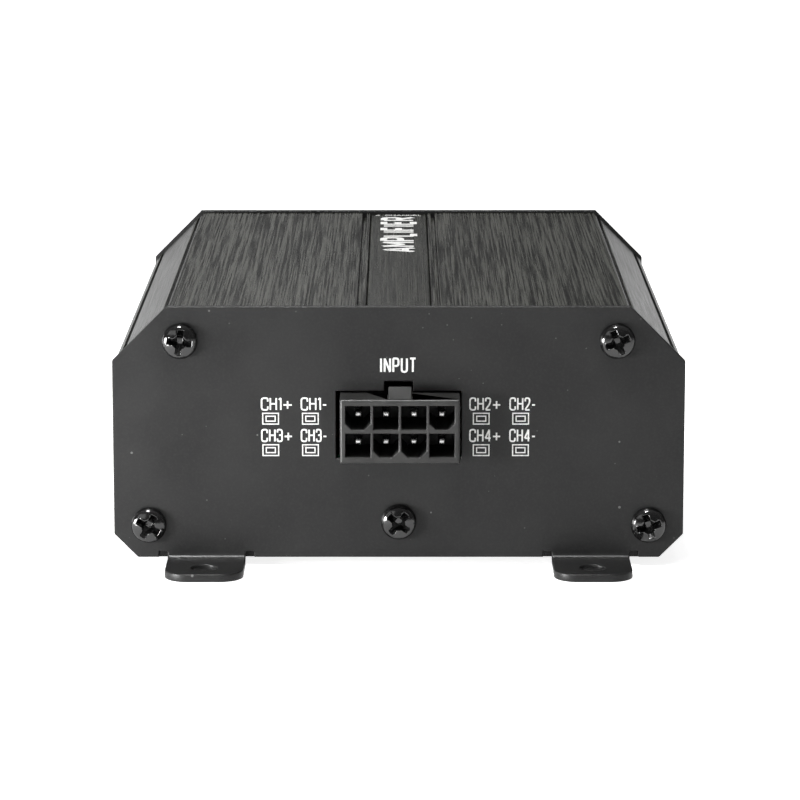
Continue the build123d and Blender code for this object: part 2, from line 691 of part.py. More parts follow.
def supply_capacitors():
    """Four radial cans with a crimped neck, a scored vent and two leads."""
    radius, height, neck = 6.25, 16.0, 1.9
    profile = make_face(Polyline(
        (0, 0), (radius - 0.4, 0), (radius, 0.4), (radius, neck - 0.5), (radius - 0.5, neck),
        (radius, neck + 0.5), (radius, height - 0.6), (radius - 0.6, height), (0, height), close=True,
    ))
    cans = []
    for x, y in supply_capacitor_places():
        can = Pos(x, y, BOARD_TOP) * revolve(Plane.XZ * profile, Axis.Z)
        for turn in (30, 120):
            can -= Pos(x, y, BOARD_TOP + height) * Rot(0, 0, turn) * Box(8.0, 0.4, 0.4)
        for side in (-1, 1):
            can += bar_z(x + side * 2.5, y, 0.4, TAIL_BOTTOM, BOARD_TOP + 1)
        cans.append(can)
    return cans


def choke_core():
    """Toroidal core with rounded edges, lying flat."""
    middle = (CORE_INNER + CORE_OUTER) / 2
    section = Pos(middle, 0) * RectangleRounded(CORE_OUTER - CORE_INNER, 2 * CORE_HALF, 0.8)
    return Pos(CHOKE_X, CHOKE_Y, CHOKE_Z) * revolve(Plane.XZ * section, Axis.Z)


def choke_winding():
    """Nineteen turns round the core, spread evenly, with a gap where the wire ends leave."""
    turns = 19
    gap = 0.05
    middle = (CORE_INNER + CORE_OUTER) / 2
    inner = (CORE_OUTER - CORE_INNER + 2 * gap, 2 * CORE_HALF + 2 * gap)
    loop = RectangleRounded(inner[0] + 2 * WIRE, inner[1] + 2 * WIRE, 1.4)
    loop -= RectangleRounded(inner[0], inner[1], 0.7)
    turn = Pos(middle, WIRE / 2, 0) * extrude(Plane.XZ * loop, WIRE)
    place = Pos(CHOKE_X, CHOKE_Y, CHOKE_Z)
    return [place * Rot(0, 0, 20 + i * 320 / (turns - 1)) * turn for i in range(turns)]


def choke_base():
    """Plastic tray that the choke stands in."""
    top = CHOKE_Z - CORE_HALF - WIRE - 0.1
    tray = block((CHOKE_X - 11.5, CHOKE_Y - 11.5, BOARD_TOP), (CHOKE_X + 11.5, CHOKE_Y + 11.5, top))
    tray = fillet(tray.edges().filter_by(Axis.Z), 2.0)
    return tray - bar_z(CHOKE_X, CHOKE_Y, 4.0, BOARD_TOP - 1, top + 1)


def output_inductors():
    """Eight shielded inductors in three rows, two for each channel."""
    places = [(x, y) for y in (13.0, 21.6, 30.2) for x in (-29.5, -20.9, -12.3)][:8]
    parts = []
    for x, y in places:
        cube = block((x - 3.9, y - 3.9, BOARD_TOP), (x + 3.9, y + 3.9, BOARD_TOP + 7.0))
        cube = chamfer(cube.edges().filter_by(Axis.Z), 0.7)
        top = cube.faces().sort_by(Axis.Z)[-1]
        parts.append(chamfer(top.edges(), 0.3))
    return parts


def output_filter_capacitors():
    """Eight box film capacitors in a row beside the heat block."""
    parts = []
    for i in range(8):
        y = -33.0 + i * 4.6
        box = block((-34.2, y - 1.25, BOARD_TOP), (-27.0, y + 1.25, BOARD_TOP + 6.5))
        parts.append(fillet(box.faces().sort_by(Axis.Z)[-1].edges(), 0.3))
    return parts


def converter_transistors():
    """Four power transistors with their tabs and two legs each."""
    parts = []
    for y in (-22.0, -10.0, 2.0, 14.0):
        body = block((-6.6, y - 5.1, BOARD_TOP), (0.4, y + 5.1, BOARD_TOP + 4.4))
        body = chamfer(body.faces().sort_by(Axis.Z)[-1].edges(), 0.4)
        body += block((-8.2, y - 4.6, BOARD_TOP), (-6.6, y + 4.6, BOARD_TOP + 1.3))
        for leg in (-2.5, 2.5):
            body += block((0.4, y + leg - 0.4, BOARD_TOP), (2.6, y + leg + 0.4, BOARD_TOP + 0.9))
        parts.append(body)
    return parts


def signal_processor_chip():
    """The large quad flat pack."""
    return flat_chip(18.0, SIGNAL_CHIP_Y, 10.0, 10.0, 1.5, pins_x=16, pins_y=16, pitch=0.5)


def converter_chip():
    """The audio converter, a smaller quad flat pack."""
    return flat_chip(29.8, SIGNAL_CHIP_Y, 7.0, 7.0, 1.4, pins_x=12, pins_y=12, pitch=0.5)


def input_amplifier_chips():
    """Four small-outline chips beside the input header."""
    places = [(14.0, -44.0), (23.0, -44.0), (-14.0, -44.0), (-23.0, -44.0)]
    return [flat_chip(x, y, 3.9, 8.6, 1.6, pins_x=7, pitch=1.27 * 0.9) for x, y in places]


def clock_crystal():
    """Low metal can with rounded ends."""
    can = extrude(SlotOverall(9.0, 4.6), 3.5) + extrude(SlotOverall(9.8, 5.2), 0.5)
    return Pos(31.6, -42.4, BOARD_TOP) * Rot(0, 0, 90) * can


def chip_capacitors():
    """Ceramic chip capacitors around the processor and along the power chips."""
    places = [(12.0 + i * 2.6, -24.9) for i in range(9)] + [(-9.0, -36.0 + i * 3.0) for i in range(3)]
    places += [(30.8, 2.0)] + [(4.4, -36.0 + i * 3.0) for i in range(4)]
    return [block((x - 0.8, y - 0.5, BOARD_TOP), (x + 0.8, y + 0.5, BOARD_TOP + 0.9)) for x, y in places]


def chip_resistors():
    """Chip resistors between the input chips and the processor."""
    places = [(x, y) for x in (18.4, 27.6, -18.5, -27.5) for y in (-47.4, -45.2, -43.0, -40.8)]
    return [block((x - 0.5, y - 0.8, BOARD_TOP), (x + 0.5, y + 0.8, BOARD_TOP + 0.5)) for x, y in places]


# ---- Write every node ---------------------------------------------------------------------

def main():
    """Build and write every node."""
    os.makedirs("parts", exist_ok=True)
    flip = Rot(0, 0, 180)
    write("heatsink_extrusion", heatsink_extrusion())
    write("badge_strip", badge_strip())
    write("bottom_panel", bottom_panel())
    write("insulating_film", insulating_film())
    write("front_end_plate", front_end_plate())
    write("rear_end_plate", rear_end_plate())
    write("front_plate_screws", plate_screws(-1))
    write("rear_plate_screws", plate_screws(1))
    write("board_screws", board_screws())
    write("heat_block_screws", heat_block_screws())
    write("input_header_housing", flip * header_housing(-INPUT_X, INPUT_COLUMNS))
    write("input_header_pins", [flip * pin for pin in header_pins(-INPUT_X, INPUT_COLUMNS)])
    write("power_header_housing", header_housing(POWER_X, POWER_COLUMNS))
    write("power_header_pins", header_pins(POWER_X, POWER_COLUMNS))
    write("gain_control_bodies", gain_control_bodies())
    for letter, x in zip("ab", GAIN_X):
        write("gain_shaft_" + letter, gain_shaft(x))
    write("mode_switch_bodies", mode_switch_bodies())
    for letter, x in zip("ab", MODE_X):
        write("mode_slider_" + letter, mode_slider(x))
    write("setup_switch_body", setup_switch_body())
    write("setup_button", setup_button())
    write("microphone_jack", microphone_jack())
    write("microphone_jack_nut", microphone_jack_nut())
    write("status_led", status_led())
    write("led_light_pipe", led_light_pipe())
    write("main_circuit_board", main_circuit_board())
    write("amplifier_chips", amplifier_chips())
    write("thermal_pads", thermal_pads())
    write("heat_transfer_block", heat_transfer_block())
    write("supply_capacitors", supply_capacitors())
    write("choke_core", choke_core())
    write("choke_winding", choke_winding())
    write("choke_base", choke_base())
    write("output_inductors", output_inductors())
    write("output_filter_capacitors", output_filter_capacitors())
    write("converter_transistors", converter_transistors())
    write("signal_processor_chip", signal_processor_chip())
    write("converter_chip", converter_chip())
    write("input_amplifier_chips", input_amplifier_chips())
    write("clock_crystal", clock_crystal())
    write("chip_capacitors", chip_capacitors())
    write("chip_resistors", chip_resistors())


main()
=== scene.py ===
"""Compact four-channel car amplifier: finishes, printed legends, softened edges and studio."""

import json
import logging
import math
from abc import ABC, abstractmethod
from dataclasses import dataclass, field
from enum import Enum
from typing import Callable, NamedTuple, Sequence

import bmesh
import bpy
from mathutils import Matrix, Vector

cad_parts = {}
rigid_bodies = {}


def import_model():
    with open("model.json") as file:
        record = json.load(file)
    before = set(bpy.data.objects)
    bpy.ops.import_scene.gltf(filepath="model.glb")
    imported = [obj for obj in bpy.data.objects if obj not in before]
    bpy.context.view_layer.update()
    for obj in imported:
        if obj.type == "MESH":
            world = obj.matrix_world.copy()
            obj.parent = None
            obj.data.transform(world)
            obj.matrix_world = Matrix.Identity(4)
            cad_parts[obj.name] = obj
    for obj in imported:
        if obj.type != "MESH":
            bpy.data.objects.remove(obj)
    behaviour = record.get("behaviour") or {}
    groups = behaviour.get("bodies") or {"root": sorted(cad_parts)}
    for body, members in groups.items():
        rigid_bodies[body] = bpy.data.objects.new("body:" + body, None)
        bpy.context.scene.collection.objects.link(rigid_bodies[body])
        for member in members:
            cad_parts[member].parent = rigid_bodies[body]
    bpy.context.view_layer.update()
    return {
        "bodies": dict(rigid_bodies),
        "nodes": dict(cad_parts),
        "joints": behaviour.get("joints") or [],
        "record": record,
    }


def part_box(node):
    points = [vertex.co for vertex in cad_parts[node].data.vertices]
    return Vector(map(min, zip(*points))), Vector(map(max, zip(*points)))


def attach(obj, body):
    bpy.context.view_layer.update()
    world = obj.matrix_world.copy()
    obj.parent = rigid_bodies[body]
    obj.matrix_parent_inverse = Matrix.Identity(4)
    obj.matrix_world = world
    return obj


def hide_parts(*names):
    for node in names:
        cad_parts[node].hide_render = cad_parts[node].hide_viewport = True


LOG = logging.getLogger("car_amplifier")
MM = 0.001
HOUSING = "housing"
SHEET = 1.2  # thickness of both end plates, in millimetres
WELD = 0.0008  # corners nearer than this, in millimetres, are one corner
FLAT = math.radians(0.4)  # faces that turn by less than this are one flat
FLOOR_GAP = 0.00005  # how far the floor lies under the tabs, in metres
LETTER_GAP = 1.62  # from the middle of a letter's last line to the next letter's first, in stroke widths

Point = tuple[float, float]
Colour = tuple[float, float, float]
Socket = bpy.types.NodeSocket
Piece = bpy.types.Object


# ---- Node graphs --------------------------------------------------------------------------


class Graph:
    """A material's node tree, with a short call for each kind of node that the finishes use."""

    def __init__(self, name: str) -> None:
        """Starts an empty material.

        Args:
            name: The material's name.
        """
        self.material = bpy.data.materials.new(name)
        self.material.use_nodes = True
        self.tree = self.material.node_tree
        self.tree.nodes.clear()
        self.shader = self.node("ShaderNodeBsdfPrincipled")
        output = self.node("ShaderNodeOutputMaterial")
        self.link(self.shader.outputs["BSDF"], output.inputs["Surface"])

    def node(self, kind: str, **inputs: object) -> bpy.types.Node:
        """Adds a node and sets its inputs.

        Args:
            kind: The node's type.
            inputs: Values by input name, with underscores for spaces.

        Returns:
            The node.
        """
        made = self.tree.nodes.new(kind)
        for name, value in inputs.items():
            made.inputs[name.replace("_", " ")].default_value = value
        return made

    def link(self, start: Socket, end: Socket) -> None:
        """Joins two sockets."""
        self.tree.links.new(start, end)

    def surface(self, **inputs: object) -> None:
        """Sets values on the shader's own sockets, with underscores for spaces."""
        for name, value in inputs.items():
            self.shader.inputs[name.replace("_", " ")].default_value = value

    def feed(self, name: str, source: Socket) -> None:
        """Drives one of the shader's sockets."""
        self.link(source, self.shader.inputs[name])

    def place(self, stretch: Sequence[float] = (1, 1, 1)) -> Socket:
        """The point on the piece, in metres, with each axis scaled.

        Args:
            stretch: Scale of the pattern along X, Y and Z.

        Returns:
            The vector socket.
        """
        at = self.node("ShaderNodeTexCoord")
        scaled = self.node("ShaderNodeMapping", Scale=stretch)
        self.link(at.outputs["Object"], scaled.inputs["Vector"])
        return scaled.outputs["Vector"]

    def noise(self, at: Socket, scale: float, detail: float = 2.0, rough: float = 0.5) -> Socket:
        """Smooth noise from 0 to 1.

        Args:
            at: Where to read it.
            scale: Features to the metre.
            detail: Octaves.
            rough: Strength of the finer octaves.

        Returns:
            The factor socket.
        """
        made = self.node("ShaderNodeTexNoise", Scale=scale, Detail=detail, Roughness=rough)
        self.link(at, made.inputs["Vector"])
        return made.outputs["Fac"]

    def specks(self, at: Socket, scale: float, size: float, share: float) -> Socket:
        """Sparse round specks, 1 on a speck and 0 elsewhere.

        Args:
            at: Where to read them.
            scale: Cells to the metre.
            size: A speck's radius as a share of its cell.
            share: Share of the cells that hold one.

        Returns:
            The factor socket.
        """
        cells = self.node("ShaderNodeTexVoronoi", Scale=scale)
        self.link(at, cells.inputs["Vector"])
        near = self.math("LESS_THAN", cells.outputs["Distance"], size)
        parts = self.node("ShaderNodeSeparateColor")
        self.link(cells.outputs["Color"], parts.inputs["Color"])
        chosen = self.math("LESS_THAN", parts.outputs["Red"], share)
        return self.math("MULTIPLY", near, chosen)

    def math(self, what: str, first: Socket, second: "Socket | float" = 0.0) -> Socket:
        """One sum of two values.

        Args:
            what: The operation.
            first: Its first value.
            second: Its second value, a number or a socket.

        Returns:
            The result's socket.
        """
        made = self.node("ShaderNodeMath")
        made.operation = what
        self.link(first, made.inputs[0])
        if isinstance(second, (int, float)):
            made.inputs[1].default_value = second
        else:
            self.link(second, made.inputs[1])
        return made.outputs[0]

    def span(self, source: Socket, low: float, high: float, start: float = 0.0, end: float = 1.0) -> Socket:
        """Maps one stretch of values onto another, straight and clamped.

        Args:
            source: The value to map.
            low: What the start becomes.
            high: What the end becomes.
            start: The source's value at the start.
            end: The source's value at the end.

        Returns:
            The mapped value.
        """
        made = self.node("ShaderNodeMapRange", From_Min=start, From_Max=end, To_Min=low, To_Max=high)
        self.link(source, made.inputs["Value"])
        return made.outputs["Result"]

    def blend(self, factor: Socket, first: "Colour | Socket", second: "Colour | Socket") -> Socket:
        """Mixes two colours by a factor.

        Args:
            factor: 0 for the first, 1 for the second.
            first: A colour or a colour socket.
            second: A colour or a colour socket.

        Returns:
            The mixed colour.
        """
        made = self.node("ShaderNodeMix")
        made.data_type = "RGBA"
        self.link(factor, made.inputs["Factor"])
        for name, value in (("A", first), ("B", second)):
            entry = next(s for s in made.inputs if s.name == name and s.type == "RGBA")
            if isinstance(value, tuple):
                entry.default_value = (*value, 1.0)
            else:
                self.link(value, entry)
        return next(s for s in made.outputs if s.type == "RGBA")

    def choose(self, factor: Socket, first: Socket, second: Socket) -> Socket:
        """Mixes two values by a factor.

        Args:
            factor: 0 for the first, 1 for the second.
            first: A value socket.
            second: A value socket.

        Returns:
            The mixed value.
        """
        made = self.node("ShaderNodeMix")
        self.link(factor, made.inputs["Factor"])
        self.link(first, made.inputs["A"])
        self.link(second, made.inputs["B"])
        return made.outputs["Result"]

    def bump(self, height: Socket, depth: float, strength: float = 1.0) -> None:
        """Gives the surface a relief.

        Args:
            height: The relief, from 0 to 1.
            depth: Its full depth in millimetres.
            strength: How much of it shows.
        """
        made = self.node("ShaderNodeBump", Strength=strength, Distance=depth * MM)
        self.link(height, made.inputs["Height"])
        self.feed("Normal", made.outputs["Normal"])

    def facing(self, axis: str) -> Socket:
        """How far the surface turns along one axis of the piece.

        Args:
            axis: The axis: X, Y or Z.

        Returns:
            A value from -1 to 1.
        """
        shape = self.node("ShaderNodeTexCoord")
        parts = self.node("ShaderNodeSeparateXYZ")
        self.link(shape.outputs["Normal"], parts.inputs["Vector"])
        return parts.outputs[axis]


# ---- Finishes -----------------------------------------------------------------------------


@dataclass(frozen=True)
class Finish(ABC):
    """A named surface finish, which takes its place in one of the record's material slots."""

    slot: str

    @abstractmethod
    def paint(self, graph: Graph) -> None:
        """Builds the finish's nodes.

        Args:
            graph: The material to fill.
        """

    def build(self) -> bpy.types.Material:
        """Makes the material, or gives the one already made for this finish.

        Returns:
            The material.
        """
        name = type(self).__name__ + "_" + self.slot
        if name in bpy.data.materials:
            return bpy.data.materials[name]
        graph = Graph(name)
        self.paint(graph)
        return graph.material


@dataclass(frozen=True)
class PowderCoat(Finish):
    """Matte black powder coat on steel sheet, with a fine orange peel and a little dust."""

    slot: str = "powder_coated_steel"
    low: Colour = (0.011, 0.011, 0.0112)
    high: Colour = (0.016, 0.016, 0.016)
    grain_tone: Colour = (0.028, 0.028, 0.027)
    dust_tone: Colour = (0.20, 0.20, 0.195)
    fine_dust_tone: Colour = (0.15, 0.15, 0.145)
    rough: tuple[float, float] = (0.33, 0.41)
    gloss: float = 0.36
    peel_depth: float = 0.012

    def paint(self, graph: Graph) -> None:
        """Slow tone changes, fine grain, dust specks and an orange-peel relief.

        Args:
            graph: The material to fill.
        """
        at = graph.place()
        cloud = graph.span(graph.noise(at, 90, 3.0), 0, 1, 0.35, 0.65)
        grain = graph.noise(at, 2600, 2.0)
        tone = graph.blend(cloud, self.low, self.high)
        tone = graph.blend(graph.span(grain, 0.0, 0.35, 0.45, 0.8), tone, self.grain_tone)
        dust = graph.specks(at, 420, 0.09, 0.10)
        fine_dust = graph.specks(at, 1100, 0.13, 0.045)
        tone = graph.blend(graph.math("MULTIPLY", dust, 0.55), tone, self.dust_tone)
        tone = graph.blend(graph.math("MULTIPLY", fine_dust, 0.35), tone, self.fine_dust_tone)
        graph.feed("Base Color", tone)
        graph.feed("Roughness", graph.span(cloud, *self.rough))
        graph.surface(Specular_IOR_Level=self.gloss)
        peel = graph.math("ADD", graph.noise(at, 1500, 1.0), graph.math("MULTIPLY", grain, 0.5))
        graph.bump(peel, self.peel_depth, 0.6)


@dataclass(frozen=True)
class Brushed(Finish):
    """What the brushed finishes share: fine lines and longer strokes along the length."""

    line_scale: float = 7500
    line_stretch: float = 0.007
    line_rough: float = 0.62
    stroke_scale: float = 3900
    stroke_stretch: float = 0.010
    line_share: float = 0.3

    def brush(self, graph: Graph) -> tuple[Socket, Socket]:
        """Lays the brush marks.

        Args:
            graph: The material.

        Returns:
            The fine lines, and the lines and strokes together.
        """
        lines = graph.noise(graph.place((1, self.line_stretch, 1)), self.line_scale, 3.0, self.line_rough)
        strokes = graph.noise(graph.place((1, self.stroke_stretch, 1)), self.stroke_scale, 2.0, 0.6)
        fine = graph.math("MULTIPLY", lines, self.line_share)
        return lines, graph.math("ADD", fine, graph.math("MULTIPLY", strokes, 1 - self.line_share))


@dataclass(frozen=True)
class BlackAnodised(Brushed):
    """Black anodised profile: brushed on top, with painted sheen streaks in the top's colour, polished on
    its chamfers, satin on its walls.
    """

    slot: str = "anodised_aluminium"
    dark: Colour = (0.003, 0.0032, 0.0024)
    # light: the top's brightest tone, a painted sheen that stands in for the streaky reflection of the
    # brushed top
    light: Colour = (0.078, 0.0795, 0.070)
    fleck_tone: Colour = (0.25, 0.25, 0.24)
    side_dark: Colour = (0.012, 0.012, 0.0115)
    side_light: Colour = (0.022, 0.022, 0.021)
    top_rough: tuple[float, float] = (0.17, 0.30)
    side_rough: tuple[float, float] = (0.13, 0.23)
    wall_extra: float = 0.26
    relief: float = 0.05

    def paint(self, graph: Graph) -> None:
        """Brush marks where the face looks up, their light and dark streaks in the colour painted sheen; die
        lines on the chamfers and walls.

        Args:
            graph: The material to fill.
        """
        lines, marks = self.brush(graph)
        broad = graph.noise(graph.place((1, 0.012, 1)), 900, 3.0, 0.6)
        up = graph.span(graph.facing("Z"), 0, 1, 0.86, 0.93)
        sharp = graph.span(marks, 0, 1, 0.43, 0.57)
        # Painted sheen: the brush streaks, light and dark in the top's colour, stand in for its streaky
        # reflection; the brush marks in roughness and bump are real
        painted_sheen_streaks = graph.math("MULTIPLY", sharp, graph.span(broad, 0.62, 1.0, 0.3, 0.7))
        fleck = graph.math("MULTIPLY", graph.specks(graph.place(), 700, 0.10, 0.05), 0.5)
        top_tone_with_painted_sheen = graph.blend(fleck, graph.blend(painted_sheen_streaks, self.dark, self.light), self.fleck_tone)
        on_side = graph.blend(graph.span(broad, 0, 1, 0.3, 0.7), self.side_dark, self.side_light)
        graph.feed("Base Color", graph.blend(up, on_side, top_tone_with_painted_sheen))
        wall = graph.span(graph.math("ABSOLUTE", graph.facing("X")), 0.0, self.wall_extra, 0.80, 0.93)
        side = graph.math("ADD", wall, graph.span(lines, *self.side_rough, 0.3, 0.7))
        top = graph.span(marks, *self.top_rough, 0.43, 0.57)
        graph.feed("Roughness", graph.choose(up, side, top))
        graph.surface(IOR=1.36)
        graph.bump(graph.math("MULTIPLY", marks, graph.span(up, 0.03, 1.0)), self.relief, 0.9)


@dataclass(frozen=True)
class BadgeInlay(Brushed):
    """Separate brushed inlay, a little darker and finer than the profile that it lies in."""

    slot: str = "brushed_badge"
    line_scale: float = 8200
    line_stretch: float = 0.006
    line_rough: float = 0.6
    stroke_scale: float = 4300
    dark: Colour = (0.004, 0.0042, 0.0035)
    light: Colour = (0.042, 0.0435, 0.037)
    rough: tuple[float, float] = (0.21, 0.28)
    relief: float = 0.022

    def paint(self, graph: Graph) -> None:
        """Straight brush marks of one direction, in the tone, the gloss and the relief.

        Args:
            graph: The material to fill.
        """
        marks = self.brush(graph)[1]
        graph.feed("Base Color", graph.blend(graph.span(marks, 0, 1, 0.38, 0.66), self.dark, self.light))
        graph.feed("Roughness", graph.span(marks, *self.rough, 0.40, 0.60))
        graph.surface(IOR=1.33)
        graph.bump(marks, self.relief, 0.9)


@dataclass(frozen=True)
class Moulded(Finish):
    """Moulded thermoplastic with a spark-eroded grain and faint flow marks."""

    slot: str = "header_nylon"
    low: Colour = (0.022, 0.022, 0.0215)
    high: Colour = (0.036, 0.036, 0.035)
    rough: float = 0.38
    grain: float = 3800

    def paint(self, graph: Graph) -> None:
        """Flow clouds in the tone, erosion grain in the relief and the gloss.

        Args:
            graph: The material to fill.
        """
        at = graph.place()
        flow = graph.noise(graph.place((1, 0.4, 1)), 240, 3.0, 0.6)
        grain = graph.noise(at, self.grain, 2.0, 0.6)
        graph.feed("Base Color", graph.blend(graph.span(flow, 0, 1, 0.35, 0.65), self.low, self.high))
        graph.feed("Roughness", graph.span(grain, self.rough - 0.07, self.rough + 0.09, 0.3, 0.7))
        graph.bump(grain, 0.008, 0.6)


@dataclass(frozen=True)
class Plated(Finish):
    """Plated or bare metal with fine tool lines and a few stains."""

    slot: str = "tinned_contact"
    low: Colour = (0.78, 0.78, 0.77)
    high: Colour = (0.93, 0.93, 0.92)
    rough: float = 0.20

    def paint(self, graph: Graph) -> None:
        """Cloudy plating and short scratches on metal.

        Args:
            graph: The material to fill.
        """
        at = graph.place()
        cloud = graph.noise(at, 600, 3.0, 0.6)
        scratch = graph.noise(graph.place((1, 1, 0.08)), 6000, 2.0, 0.6)
        graph.feed("Base Color", graph.blend(graph.span(cloud, 0, 1, 0.3, 0.7), self.low, self.high))
        graph.feed("Roughness", graph.span(scratch, self.rough - 0.06, self.rough + 0.12, 0.3, 0.7))
        graph.surface(Metallic=1.0)
        graph.bump(scratch, 0.006, 0.5)


@dataclass(frozen=True)
class BlackScrew(Finish):
    """Glossy black coating on a formed screw, thin at its edges."""

    slot: str = "black_screw_steel"
    low: Colour = (0.002, 0.002, 0.002)
    high: Colour = (0.006, 0.006, 0.006)

    def paint(self, graph: Graph) -> None:
        """Near-black gloss with forming marks.

        Args:
            graph: The material to fill.
        """
        at = graph.place()
        cloud = graph.noise(at, 900, 3.0, 0.6)
        mark = graph.noise(at, 4200, 2.0, 0.5)
        graph.feed("Base Color", graph.blend(graph.span(cloud, 0, 1, 0.35, 0.7), self.low, self.high))
        graph.feed("Roughness", graph.span(mark, 0.07, 0.15, 0.3, 0.7))
        graph.surface(IOR=1.85)
        graph.bump(mark, 0.010, 0.4)


@dataclass(frozen=True)
class PrintedInk(Finish):
    """White screen-printed ink, slightly thin in places."""

    slot: str = "powder_coated_steel"
    thin: Colour = (0.50, 0.50, 0.49)
    full: Colour = (0.84, 0.84, 0.82)

    def paint(self, graph: Graph) -> None:
        """Ink density that varies with the screen's mesh.

        Args:
            graph: The material to fill.
        """
        at = graph.place()
        density = graph.noise(at, 2600, 3.0, 0.7)
        graph.feed("Base Color", graph.blend(graph.span(density, 0, 1, 0.25, 0.6), self.thin, self.full))
        graph.feed("Roughness", graph.span(density, 0.5, 0.7))
        graph.bump(density, 0.004, 0.5)


@dataclass(frozen=True)
class BoardLaminate(Finish):
    """Green solder mask over woven glass, with copper pours just showing through."""

    slot: str = "board_laminate"
    pour: Colour = (0.010, 0.10, 0.035)
    bare: Colour = (0.004, 0.045, 0.018)

    def paint(self, graph: Graph) -> None:
        """Weave relief, pour-shaped tone and a glossy mask.

        Args:
            graph: The material to fill.
        """
        at = graph.place()
        pours = graph.node("ShaderNodeTexVoronoi", Scale=130)
        pours.distance = "CHEBYCHEV"
        graph.link(at, pours.inputs["Vector"])
        edge = graph.span(pours.outputs["Distance"], 0, 1, 0.30, 0.34)
        graph.feed("Base Color", graph.blend(edge, self.pour, self.bare))
        weave = graph.node("ShaderNodeTexWave", Scale=1400)
        graph.link(at, weave.inputs["Vector"])
        graph.feed("Roughness", graph.span(weave.outputs["Fac"], 0.24, 0.34))
        graph.bump(weave.outputs["Fac"], 0.01, 0.4)


@dataclass(frozen=True)
class SleevedCan(Finish):
    """Electrolytic can: dark shrink sleeve with a pale stripe, bare aluminium on top."""

    slot: str = "capacitor_sleeve"
    low: Colour = (0.010, 0.011, 0.016)
    high: Colour = (0.020, 0.022, 0.030)
    stripe: Colour = (0.45, 0.46, 0.48)
    bare: Colour = (0.62, 0.62, 0.63)

    def paint(self, graph: Graph) -> None:
        """Sleeve, polarity stripe by direction, and a bare scored top by height.

        Args:
            graph: The material to fill.
        """
        at = graph.place()
        grain = graph.noise(at, 1800, 2.0)
        up = graph.span(graph.facing("Z"), 0, 1, 0.6, 0.75)
        striped = graph.span(graph.facing("X"), 0, 1, 0.93, 0.95)
        sleeve = graph.blend(graph.span(grain, 0, 1, 0.3, 0.7), self.low, self.high)
        sleeve = graph.blend(striped, sleeve, self.stripe)
        graph.feed("Base Color", graph.blend(up, sleeve, self.bare))
        graph.feed("Metallic", up)
        graph.feed("Roughness", graph.span(grain, 0.28, 0.4, 0.3, 0.7))
        graph.bump(grain, 0.006, 0.4)


@dataclass(frozen=True)
class ClearRod(Finish):
    """Clear polished acrylic with a few tiny inclusions."""

    slot: str = "clear_acrylic"
    low: Colour = (0.72, 0.80, 0.84)
    high: Colour = (0.92, 0.95, 0.96)

    def paint(self, graph: Graph) -> None:
        """Mostly clear, with a cloudy tone and roughness.

        Args:
            graph: The material to fill.
        """
        at = graph.place()
        cloud = graph.noise(at, 900, 3.0)
        graph.feed("Base Color", graph.blend(graph.span(cloud, 0, 1, 0.3, 0.7), self.low, self.high))
        graph.feed("Roughness", graph.span(cloud, 0.05, 0.14, 0.3, 0.7))
        graph.surface(Transmission_Weight=0.7, IOR=1.49)


class Shade(Enum):
    """Every finish on the amplifier, by its slot in the record."""

    SHEET = PowderCoat()
    PROFILE = BlackAnodised()
    BADGE = BadgeInlay()
    INK = PrintedInk()
    SCREW = BlackScrew()
    HEADER = Moulded()
    CONTACT = Plated()
    CONTROL = Moulded("control_plastic", (0.014, 0.014, 0.015), (0.028, 0.028, 0.030), 0.45, 3200)
    SHAFT = Moulded("shaft_nylon", (0.44, 0.43, 0.38), (0.60, 0.59, 0.53), 0.45, 2600)
    SLIDER = Moulded("slider_plastic", (0.60, 0.60, 0.57), (0.76, 0.76, 0.73), 0.40, 2600)
    BUTTON = Moulded("button_plastic", (0.030, 0.030, 0.032), (0.055, 0.055, 0.058), 0.38, 3000)
    SWITCH = Plated("switch_steel", (0.40, 0.40, 0.39), (0.62, 0.62, 0.60), 0.34)
    ZINC = Plated("zinc_screw_steel", (0.46, 0.47, 0.48), (0.66, 0.67, 0.68), 0.30)
    NICKEL = Plated("nut_nickel", (0.48, 0.47, 0.44), (0.70, 0.68, 0.64), 0.24)
    MILLED = Plated("plain_aluminium", (0.56, 0.56, 0.57), (0.76, 0.76, 0.77), 0.36)
    COPPER = Plated("copper_wire", (0.42, 0.13, 0.04), (0.66, 0.25, 0.09), 0.22)
    BOARD = BoardLaminate()
    EPOXY = Moulded("chip_epoxy", (0.016, 0.016, 0.017), (0.034, 0.034, 0.035), 0.58, 4200)
    SILICONE = Moulded("thermal_silicone", (0.20, 0.26, 0.33), (0.30, 0.37, 0.45), 0.70, 2200)
    FERRITE = Moulded("ferrite", (0.045, 0.045, 0.048), (0.085, 0.085, 0.09), 0.62, 1500)
    SLEEVE = SleevedCan()
    FILM_BOX = Moulded("film_capacitor_box", (0.42, 0.23, 0.015), (0.56, 0.34, 0.03), 0.34, 2000)
    CERAMIC = Moulded("ceramic_chip", (0.34, 0.22, 0.12), (0.50, 0.36, 0.22), 0.5, 2600)
    POLYESTER = Moulded("insulating_film", (0.40, 0.26, 0.05), (0.56, 0.39, 0.09), 0.25, 900)
    LIGHT = Moulded("led_ceramic", (0.70, 0.68, 0.58), (0.84, 0.82, 0.74), 0.4, 2600)
    CLEAR = ClearRod()

    def dress(self, piece: Piece) -> None:
        """Puts this finish on a piece and names the record's slot for it.

        Args:
            piece: The piece to dress.
        """
        material = self.value.build()
        slots = piece.data.materials
        if len(slots):
            slots[0] = material
        else:
            slots.append(material)


# ---- Edges --------------------------------------------------------------------------------


